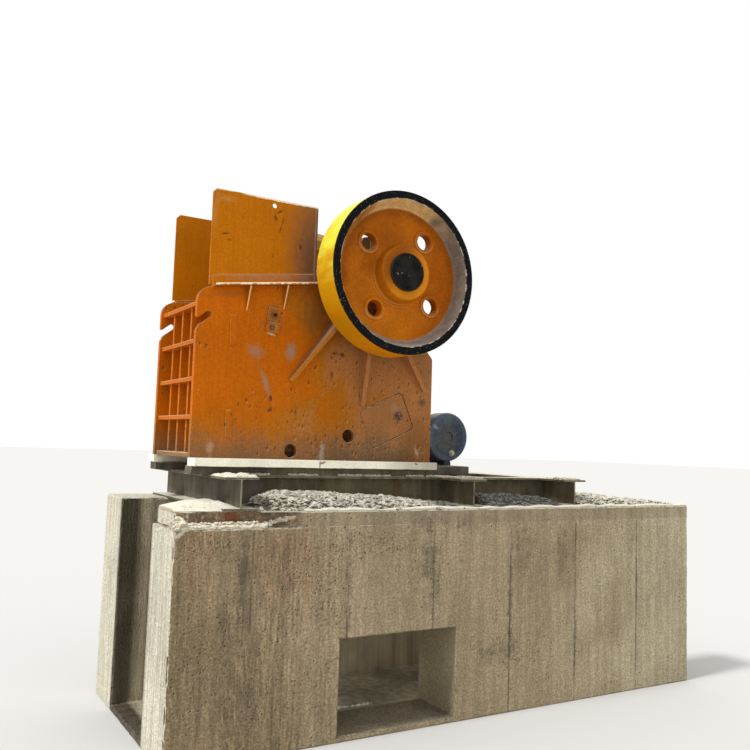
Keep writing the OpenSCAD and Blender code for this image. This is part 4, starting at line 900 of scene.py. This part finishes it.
# The gussets' sloping outer edges are painted bright orange: a painted highlight.
prop_edge = c.times(c.ramp(c.size(c.y), 0.552, 0.556), c.ramp(c.nz, -0.03, -0.12),
                    c.ramp(c.size(c.ny), 0.5, 0.7))
gusset_highlight = c.most(c.band(c.x, -2.215, 0.010), c.band(c.x, -1.861, 0.010))
tone = c.mix(c.times(prop_edge, gusset_highlight, c.clouds(20, 3, low=0.2, high=0.4)), tone, (0.95, 0.50, 0.19))
# Eased edges are painted a paler orange: rubbed paint with a painted highlight.
tone = c.mix(c.times(c.worn, c.clouds(25, 3, low=0.30, high=0.50)), tone, (0.66, 0.36, 0.135))
over_slope = c.maths("SUBTRACT", c.z, c.maths("ADD", c.times(c.x, 0.137), 4.132))
over_slope = c.maths("ADD", over_slope, c.times(c.maths("SUBTRACT", c.clouds(30, 4), 0.5), 0.008))
# The upper part of the flange's outer face is painted pale: dust with a painted highlight.
outer_edge_dust_and_highlight = c.times(c.ramp(c.size(c.y), 0.633, 0.637), c.clouds(16, 4, low=0.12, high=0.30),
                     c.ramp(over_slope, 0.004, 0.011))
tone = c.mix(outer_edge_dust_and_highlight, tone, c.scaled((0.92, 0.74, 0.52), c.round_one(c.clouds(30, 3), 0.10)))
tone = c.mix(c.ramp(c.nz, 0.6, 0.9), tone, c.scaled((0.54, 0.47, 0.34), c.round_one(c.clouds(50, 3), 0.14)))
flange_paint = c.dressed(tone, c.mottle(60, 3), 0.001)
for node in ("near_top_flange", "far_top_flange"):
    carried(node, node + "_welded", flange_paint, "orange_paint", 0.003)


def slope_z(x):
    """Height of the side plates' sloping top edge."""
    return 3.78 + (x + 2.569) * 0.137


for side in (-1, 1):
    y = side * 0.554
    weld(welds, (-2.50, y, slope_z(-2.50) - 0.004), (-1.30, y, slope_z(-1.30) - 0.004), 0.006)
keep(welds, "frame_welds", orange, crease=80)

# Front wall, rear tie and toggle beam: ribbed castings and boxes welded across between the side plates.
# The toggle beam's ends show in the tilted openings, chipped and brown with dust.
for node, edge in (("front_wall", 0.004), ("rear_tie", 0.004)):
    carried(node, node + "_welded", orange, "orange_paint", edge)
beam_marks = (((-0.64, 2.83, 0.050, 0.075, 35), (0.36, 0.185, 0.115), 0.7),
              ((-0.597, 2.762, 0.060, 0.055), (0.17, 0.085, 0.045), 0.6))
brown = enamel("browned_enamel", paint_mid, paint_dusty, (0.330, 0.142, 0.048), spread=-0.9, marks=beam_marks)
carried("toggle_beam", "toggle_beam_welded", brown, "orange_paint", 0.005, pitch=0.03, chip=0.004)

# Jaw plates and side liners: manganese steel castings, bolted and wedged in, with upright teeth
# scoured by rock and grey with its dust.
c = Finish("jaw_casting", roughness=0.6, metallic=0.6, specular=0.5)
tone = c.mix(c.clouds(6, 4), (0.135, 0.110, 0.085), (0.265, 0.235, 0.195))
tone = c.mix(c.times(c.clouds(18, 4, along=(1, 1, 0.1), low=0.5, high=0.75), 0.6), tone, (0.33, 0.31, 0.28))
tone = c.mix(c.ramp(c.nz, 0.4, 0.8), tone, plate_dust)
jaw_casting = c.dressed(tone, c.mottle(22, 5, along=(1, 1, 0.3)), 0.002)
for node in ("fixed_jaw_plate", "moving_jaw_plate", "near_cheek_plate", "far_cheek_plate"):
    carried(node, node + "_cast", jaw_casting, "jaw_steel", 0.005)

# Swing jaw: a webbed steel casting that hangs from the eccentric shaft, with the toggle plate behind its toe
# and a rod and spring that hold the toggle seated.
carried("pitman", "pitman_cast", brown, "orange_paint", 0.006)
c = Finish("dusty_iron", roughness=0.85, metallic=0.1, specular=0.15)
tone = c.mix(c.clouds(9, 5), (0.092, 0.080, 0.068), (0.150, 0.132, 0.112))
tone = c.mix(c.ramp(c.nz, 0.4, 0.8), tone, (0.30, 0.275, 0.225))
dusty_iron = c.dressed(tone, c.mottle(50, 4), 0.0015)
for node, edge in (("toggle_plate", 0.005), ("tension_rod", 0.002)):
    carried(node, node + "_fitted", dusty_iron, "jaw_steel" if node == "toggle_plate" else "shaft_steel",
            edge)
coil = bmesh.new()
coil.from_mesh(nodes["tension_spring"].data)
bmesh.ops.remove_doubles(coil, verts=coil.verts, dist=0.00002)
keep(coil, "tension_spring_wound", dusty_iron, crease=60, instead=("tension_spring",))

# Feed box: thin orange plates that stand on the top flanges, doubled along the foot, with a lifting hole
# near the top edge, and darker mauve-brown towards the wheel.
mauve = (0.225, 0.098, 0.040)
box_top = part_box("near_feed_plate")[1][2]
box_marks = (
    ((-1.55, 4.18, 0.40, 1.30, 0, 0.12, 1.0), mauve, 1.0), ((-1.60, 4.05, 0.16, 0.60, 0, 0.5, 1.0),
                                                            (0.190, 0.085, 0.040), 0.5),
    ((-1.562, 4.22, 0.014, 0.62, 0, 0.2), (0.36, 0.24, 0.20), 0.7),
    ((-1.97, 4.50, 0.018, 0.060, 12), rust_dark, 0.8), ((-1.905, 4.43, 0.012, 0.080, -15), rust_dark,
                                                        0.7), ((-1.93, 4.55, 0.050, 0.012, 35), rust_dark,
                                                               0.7),
    ((-2.44, 4.27, 0.060, 0.010, 8), rust_dark, 0.7), ((-2.40, 4.22, 0.035, 0.008, 5), rust_dark,
                                                       0.6), ((-1.71, 4.26, 0.020, 0.034), rust_dark, 0.9),
    ((-1.70, 4.33, 0.012, 0.016), rust_dark, 0.9), ((-1.98, 4.13, 0.012, 0.030), rust_dark,
                                                    0.6), ((-2.33, 4.05, 0.010, 0.012), rust_dark, 0.6),
    # Pale strips down the feed-end edge and near the top corner: painted highlights.
    ((-2.535, 4.45, 0.030, 0.30, 0, 0.4, 1.0), (0.46, 0.24, 0.08),
     0.4), ((-2.44, 4.585, 0.14, 0.050, 4, 0.4, 1.0), (0.46, 0.23, 0.06), 0.45),
    ((-1.95, 3.945, 0.75, 0.045, 8, 0.4, 1.0), (0.33, 0.185, 0.115), 0.6),
    # Pale lines along the top edge: painted highlights.
    ((-1.86, box_top, 0.50, 0.019, 0, 0.3, 0.4), (0.85, 0.72, 0.54), 1.0),
    ((-2.44, box_top, 0.14, 0.015, 0, 0.4, 0.5), (0.75, 0.58, 0.38), 0.8))
box_paint = enamel("feed_box_enamel", (0.460, 0.138, 0.001), (0.410, 0.134, 0.003), (0.330, 0.122, 0.018),
                   spread=0.30, marks=box_marks)
for node in ("near_feed_plate", "far_feed_plate", "rear_feed_plate"):
    carried(node, node + "_painted", box_paint, "orange_paint", 0.0035)
seams = bmesh.new()
for side in (-1, 1):
    y = side * 0.5345
    weld(seams, (-2.52, y, slope_z(-2.52) + 0.106), (-1.55, y, slope_z(-1.55) + 0.106), 0.006)
    weld(seams, (-2.52, side * 0.551, slope_z(-2.52) + 0.025),
         (-1.55, side * 0.551, slope_z(-1.55) + 0.025), 0.005)
keep(seams, "feed_box_welds", flange_paint, crease=80)

# Bearing housings: split iron housings bolted down on their seats, with their caps held by four bolts each,
# grease covers at both sides and a stout lifting lug welded along each cap's crown, grey with dust.
for node in ("near_bearing", "far_bearing"):
    carried(node, node + "_cast", orange, "orange_paint", 0.006)
c = Finish("dusty_lug", roughness=0.9, specular=0.05)
tone = c.mix(c.clouds(9, 4), (0.165, 0.110, 0.060), (0.235, 0.180, 0.120))
dusty_lug = c.dressed(c.mix(c.ramp(c.nz, 0.4, 0.8), tone, plate_dust), c.mottle(50, 4), 0.0015)
lugs = bmesh.new()
lug_outline = [(-1.135, 4.20), (-0.685, 4.20), (-0.70, 4.36), (-0.76, 4.43), (-0.86, 4.448), (-1.03, 4.448),
               (-1.105, 4.43), (-1.14, 4.36)]
for side in (-1, 1):
    plate(lugs, lug_outline, side * 0.585, side * 0.635, 0.008)
    for x in (-1.02, -0.80):
        plate(lugs, [(x - 0.012, 4.22), (x + 0.012, 4.22), (x + 0.012, 4.40), (x - 0.012, 4.40)],
              side * 0.555, side * 0.665, 0.004)
keep(lugs, "bearing_cap_lugs", dusty_lug)
housing_bolts = bmesh.new()
for side in (-1, 1):
    for x in (-1.165, -0.655):
        for y in (0.565, 0.645):
            hex_bolt(housing_bolts, (x, side * y, 4.10), (0, 0, 1), 0.040, washer=0.8)
    for x in (-1.195, -0.625):
        for y in (0.52, 0.69):
            hex_bolt(housing_bolts, (x, side * y, 3.88), (0, 0, 1), 0.044, washer=0.7)
keep(housing_bolts, "housing_bolts", bolt_steel)

# Eccentric shaft: one turned and ground steel forging through both housings and both wheels.
# It turns as one with them, and its bright steel shows between the housings and the wheels.
c = Finish("turned_steel", roughness=0.42, metallic=0.85, specular=0.5)
tone = c.mix(c.clouds(30, 3, along=(1, 0.1, 1)), (0.26, 0.25, 0.235), (0.42, 0.41, 0.39))
tone = c.mix(c.times(c.ramp(c.mottle(8, 4), 0.5, 0.7), 0.7), tone, (0.20, 0.145, 0.095))
turned_steel = c.dressed(tone, c.mottle(90, 2, along=(0.3, 3, 0.3)), 0.0004)
carried("eccentric_shaft", "eccentric_shaft_turned", turned_steel, "shaft_steel", 0.003, body="rotor")

# Flywheels: iron castings with a deep dish, a solid web with four holes and a heavy rim. The tread is
# enamelled orange and painted yellow where it faces up and towards the feed end, a painted highlight; the web is
# orange, with painted shade from the rim and at the hub's steps, the rim's face black, and tan dust coats the wall
# inside the rim, painted darker to the right and below as painted shade.
axle = (-0.91, 4.04)
rim_in = 0.680
c = Finish("wheel_enamel", roughness=0.5, specular=0.05)
dx = c.maths("SUBTRACT", c.x, axle[0])
dz = c.maths("SUBTRACT", c.z, axle[1])
radius = c.maths("SQRT", c.maths("ADD", c.times(dx, dx), c.times(dz, dz)))
depth = c.maths("SUBTRACT", 1.10, c.size(c.y))
flow = c.clouds(5, 4)
fine = c.clouds(60, 3)
# The web is painted darker towards the upper feed side and brighter towards the lower motor side: a painted shade
# of the rim.
out_of_rim_shadow = c.maths("ADD", c.maths("SUBTRACT", dx, c.times(dz, 1.1)),
                      c.times(c.maths("SUBTRACT", flow, 0.5), 0.30))
web_tone = c.mix(c.ramp(out_of_rim_shadow, -0.75, 0.15), (0.340, 0.088, 0.002), (0.460, 0.130, 0.003))
web_tone = c.mix(c.ramp(c.maths("ADD", dx, c.times(flow, 0.2)), 0.18, 0.55), web_tone, (0.330, 0.078, 0.001))
# A darker band on the web's upper part, just inside the rim: a painted shadow of the rim.
web_tone = c.mix(c.times(c.ramp(radius, 0.50, 0.60), c.ramp(dz, -0.45, 0.1), 0.5), web_tone,
                 (0.185, 0.050, 0.003))
hub_shade = c.mix(c.ramp(c.maths("ADD", dx, c.times(dz, -0.8)), -0.22, 0.12), (0.285, 0.080, 0.004),
                  (0.560, 0.190, 0.008))
web_tone = c.mix(c.ramp(radius, 0.275, 0.245), web_tone, hub_shade)
left_low = c.times(c.ramp(c.maths("ADD", dx, c.times(dz, 0.5)), 0.0, -0.12),
                   c.clouds(5, 2, low=0.25, high=0.45))
# Dark rings at the hub's steps on its lower feed side are painted shade, and the pale rings between them are dust
# with a painted highlight.
steps = c.most(c.band(radius, 0.266, 0.007), c.band(radius, 0.292, 0.006), c.band(radius, 0.316, 0.007))
dusted_and_lit_steps = c.most(c.band(radius, 0.279, 0.006), c.band(radius, 0.304, 0.006))
web_tone = c.mix(c.times(steps, left_low, 0.32), web_tone, (0.120, 0.045, 0.008))
web_tone = c.mix(c.times(dusted_and_lit_steps, left_low, c.ramp(dz, 0.05, -0.1), 0.28), web_tone, (0.50, 0.30, 0.12))
web_tone = c.scaled(web_tone, c.times(c.round_one(flow, 0.08), c.round_one(fine, 0.10)))
for k in range(4):
    a = radians(53 + 90 * k)
    hx = c.maths("SUBTRACT", dx, 0.427 * cos(a))
    hz = c.maths("SUBTRACT", dz, 0.427 * sin(a))
    off = c.maths("SQRT", c.maths("ADD", c.times(hx, hx), c.times(hz, hz)))
    lip = c.times(c.band(off, 0.101, 0.012), c.ramp(hz, 0.03, -0.06), c.clouds(20, 3, low=0.3, high=0.5))
    web_tone = c.mix(c.times(lip, 0.60), web_tone, (0.50, 0.32, 0.15))
    web_tone = c.mix(c.times(c.ramp(off, 0.0745, 0.0715), 0.7), web_tone, (0.190, 0.120, 0.070))
pits = c.times(c.specks(22, 0.13, 0.10, bent=0.02), c.ramp(radius, 0.62, 0.58))
web_tone = c.mix(c.times(pits, 0.5), web_tone, (0.15, 0.05, 0.010))
# The tread is painted yellow where it faces up and towards the feed end, and deeper orange elsewhere: a painted
# highlight.
lean = c.maths("SUBTRACT", c.times(c.nz, 0.8), c.times(c.nx, 0.6))
lean = c.maths("ADD", lean, c.times(c.maths("SUBTRACT", c.clouds(7, 3, along=(1, 0.3, 1)), 0.5), 0.25))
tread_tone = c.mix(c.ramp(lean, -0.7, 0.45), (0.660, 0.235, 0.003), (0.550, 0.260, 0.004))
tread_tone = c.mix(c.ramp(lean, 0.42, 0.92), tread_tone, (0.660, 0.610, 0.050))
tread_tone = c.scaled(tread_tone, c.times(c.round_one(c.clouds(9, 4, along=(1, 0.3, 1)), 0.05),
                                          c.round_one(fine, 0.05)))
tread_tone = c.mix(c.times(c.specks(30, 0.16, 0.08, bent=0.02), 0.3), tread_tone, (0.30, 0.14, 0.015))
# Tan dust on the wall inside the rim, painted dark grey to the right and grey-lavender below as painted shade, and
# clean orange to the left.
inner_dust_and_shade = c.mix(c.ramp(c.maths("ADD", dx, c.times(flow, 0.2)), 0.15, 0.60), (0.610, 0.370, 0.140),
                   (0.170, 0.130, 0.100))
inner_dust_and_shade = c.mix(c.ramp(c.maths("ADD", dz, c.times(flow, 0.15)), -0.10, -0.45), inner_dust_and_shade,
                   (0.240, 0.195, 0.165))
inner_dust_and_shade = c.mix(c.ramp(c.maths("ADD", dx, c.times(flow, 0.15)), -0.20, -0.45), inner_dust_and_shade,
                   (0.330, 0.130, 0.020))
inner_dust_and_shade = c.scaled(inner_dust_and_shade, c.times(c.round_one(c.clouds(14, 4), 0.10), c.round_one(fine, 0.10)))
face_black = c.mix(c.times(c.most(c.specks(62, 0.26, 0.26), c.specks(26, 0.15, 0.20)), 0.7),
                   (0.0060, 0.0066, 0.0075), (0.26, 0.245, 0.20))
face_black = c.mix(c.times(c.clouds(8, 4), 0.35), face_black, (0.011, 0.011, 0.010))
ragged = c.maths("ADD", radius, c.times(c.maths("SUBTRACT", c.mottle(120, 4), 0.5), 0.012))
tone = c.mix(c.ramp(radius, 0.600, 0.622), web_tone, inner_dust_and_shade)
tone = c.mix(c.ramp(radius, 0.742, 0.747), tone, tread_tone)
on_face = c.times(c.ramp(ragged, rim_in - 0.004, rim_in), c.ramp(depth, 0.014, 0.008),
                  c.ramp(ragged, 0.7525, 0.7490))
tone = c.mix(on_face, tone, face_black)
nicks = c.times(c.band(ragged, rim_in - 0.001, 0.006), c.ramp(depth, 0.03, 0.012),
                c.clouds(26, 3, low=0.50, high=0.60))
tone = c.mix(c.times(nicks, 0.85), tone, (0.62, 0.54, 0.40))
gloss = c.maths("ADD", 0.42, c.times(c.ramp(radius, 0.600, 0.622), c.ramp(radius, 0.745, 0.735), 0.4))
wheel_enamel = c.dressed(tone, c.maths("ADD", c.times(flow, 0.5), c.times(fine, 0.25)), 0.002, gloss)
for node in ("near_flywheel", "far_flywheel"):
    carried(node, node + "_cast", wheel_enamel, "wheel_paint", 0.0035, body="rotor", angle=40)

# Shaft caps: black painted steel covers over the shaft's ends, speckled with pale dust and scuffed,
# each held by six small screws.
c = Finish("black_cover", roughness=0.75, specular=0.04)
tone = c.mix(c.clouds(9, 4), (0.0085, 0.0085, 0.0080), (0.019, 0.018, 0.016))
tone = c.mix(c.times(c.specks(70, 0.22, 0.16, bent=0.02), 0.6), tone, (0.22, 0.205, 0.165))
tone = c.mix(c.times(c.specks(24, 0.20, 0.16, bent=0.05), 0.5), tone, (0.30, 0.28, 0.23))
tone = c.mix(c.times(c.worn, 0.4), tone, (0.07, 0.055, 0.035))
black_cover = c.dressed(tone, c.mottle(60, 4), 0.0012)
for node in ("near_shaft_cap", "far_shaft_cap"):
    carried(node, node + "_turned", black_cover, "black_cap", 0.005, body="rotor")
cap_screws = bmesh.new()
for side in (-1, 1):
    for k in range(6):
        a = radians(30 + 60 * k)
        at = (axle[0] + 0.135 * cos(a), side * 1.1245, axle[1] + 0.135 * sin(a))
        hex_bolt(cap_screws, at, (0, side, 0), 0.019, washer=0)
keep(cap_screws, "cap_screws", black_cover, body="rotor")

# Motor: a finned cast motor in dark blue, on slide rails over a steel box; it drives the far wheel
# through a pulley and one banded belt. Its fan cowl faces the near side, with a small fitting low on it.
carried("motor_base", "motor_base_box", dusty_iron, "dusty_base", 0.010, steps=3)
motor_x = 0.325
motor_z = 2.585
cowl_y = -0.10
c = Finish("motor_enamel", roughness=0.6, specular=0.10)
tone = c.mix(c.clouds(5, 4), (0.047, 0.061, 0.080), (0.082, 0.096, 0.106))
sheen = c.ramp(c.maths("SUBTRACT", c.times(c.maths("SUBTRACT", c.z, motor_z), 0.8),
                       c.maths("SUBTRACT", c.x, motor_x)), 0.05, 0.30)
tone = c.mix(c.times(sheen, 0.55), tone, (0.090, 0.130, 0.185))
tone = c.mix(c.times(c.ramp(c.mottle(22, 5), 0.50, 0.66), 0.45), tone, (0.150, 0.145, 0.125))
off_axis = c.maths("SQRT", c.maths("ADD", c.times(c.maths("SUBTRACT", c.x, motor_x),
                                                  c.maths("SUBTRACT", c.x, motor_x)),
                                   c.times(c.maths("SUBTRACT", c.z, motor_z),
                                           c.maths("SUBTRACT", c.z, motor_z))))
middle = c.times(c.ramp(off_axis, 0.16, 0.08), c.ramp(c.ny, -0.5, -0.8))
tone = c.mix(c.times(c.ramp(c.maths("SUBTRACT", c.x, motor_x), 0.04, 0.17), c.ramp(c.ny, -0.5, -0.8), 0.6),
             tone, (0.036, 0.052, 0.082))
tone = c.mix(c.times(middle, 0.6), tone, (0.084, 0.080, 0.072))
tone = c.mix(c.times(c.ramp(off_axis, 0.190, 0.210), c.ramp(c.y, -0.085, -0.095), 0.2), tone,
             (0.110, 0.150, 0.200))
tone = c.mix(c.times(c.specks(60, 0.22, 0.16, bent=0.01), 0.5), tone, (0.26, 0.26, 0.24))
tone = c.mix(c.times(c.worn, c.clouds(20, 3), 0.25), tone, (0.20, 0.20, 0.18))
# A pale patch high on the motor's feed side: a painted highlight.
tone = c.mix(c.times(c.spot(0.149, 2.690, 0.050, 0.040), 0.7), tone, (0.30, 0.31, 0.31))
tone = c.mix(c.ramp(c.nz, 0.62, 0.95), tone, c.scaled((0.44, 0.42, 0.35), c.round_one(c.clouds(30, 3), 0.2)))
motor_enamel = c.dressed(tone, c.mottle(55, 3), 0.0008)
for node, edge in (("motor_body", 0.002), ("motor_cowl", 0.003), ("terminal_box", 0.004)):
    carried(node, node + "_painted", motor_enamel, "motor_blue", edge)
grille = bmesh.new()
for radius_m in (0.060, 0.085, 0.110, 0.135, 0.160, 0.185):
    place = Matrix.Translation((motor_x, cowl_y - 0.001, motor_z)) @ Matrix.Rotation(pi / 2, 4, "X")
    ring = bmesh.ops.create_circle(grille, segments=6, radius=0.0013,
                                   matrix=place @ Matrix.Translation((radius_m, 0,
                                                                      0)) @ Matrix.Rotation(pi / 2, 4, "X"))
    loop = list({e for v in ring["verts"] for e in v.link_edges})
    bmesh.ops.spin(grille, geom=loop + ring["verts"], cent=(motor_x, cowl_y, motor_z), axis=(0, 1, 0),
                   angle=2 * pi,
                   steps=64, use_merge=True)
for k in range(8):
    a = radians(22.5 + 45 * k)
    spoke = turned_square(motor_x + 0.14 * cos(a), motor_z + 0.14 * sin(a), 0.150, 0.008, 22.5 + 45 * k)
    plate(grille, spoke, cowl_y - 0.003, cowl_y, 0.001)
bmesh.ops.remove_doubles(grille, verts=grille.verts, dist=0.0001)
bmesh.ops.recalc_face_normals(grille, faces=grille.faces)
keep(grille, "cowl_grille", motor_enamel, crease=60)
fitting = bmesh.new()
hex_bolt(fitting, (0.375, cowl_y, 2.412), (0, -1, 0), 0.040, washer=0.8)
keep(fitting, "cowl_drain_fitting", drifted_dust, crease=60)
motor_bolts = bmesh.new()
for s in (-1, 1):
    for y in (0.27, 0.59):
        hex_bolt(motor_bolts, (motor_x + s * 0.2525, y, 2.329), (0, 0, 1), 0.030, washer=0.85)
for y in (0.26, 0.45):
    for z in (2.565, 2.725):
        hex_bolt(motor_bolts, (motor_x + 0.377, y, z), (1, 0, 0), 0.014, washer=0)
keep(motor_bolts, "motor_bolts", bolt_steel)

# Pulley and belt: a turned iron pulley on the motor's shaft and a banded rubber belt with a rib for each
# groove, dusty on its back.
c = Finish("pulley_casting", roughness=0.5, metallic=0.6, specular=0.5)
tone = c.mix(c.clouds(12, 4), (0.075, 0.070, 0.062), (0.16, 0.145, 0.12))
pulley_casting = c.dressed(tone, c.mottle(80, 3), 0.0006)
carried("motor_pulley", "motor_pulley_turned", pulley_casting, "pulley_iron", 0.0015)
c = Finish("belt_rubber", roughness=0.85, specular=0.15)
tone = c.mix(c.clouds(20, 4), (0.018, 0.018, 0.018), (0.045, 0.042, 0.036))
tone = c.mix(c.times(c.ramp(c.mottle(6, 4), 0.5, 0.75), 0.5), tone, (0.15, 0.135, 0.105))
belt_rubber = c.dressed(tone, c.mottle(120, 3), 0.0008)
carried("drive_belt", "drive_belt_band", belt_rubber, "belt_rubber", 0.0012)
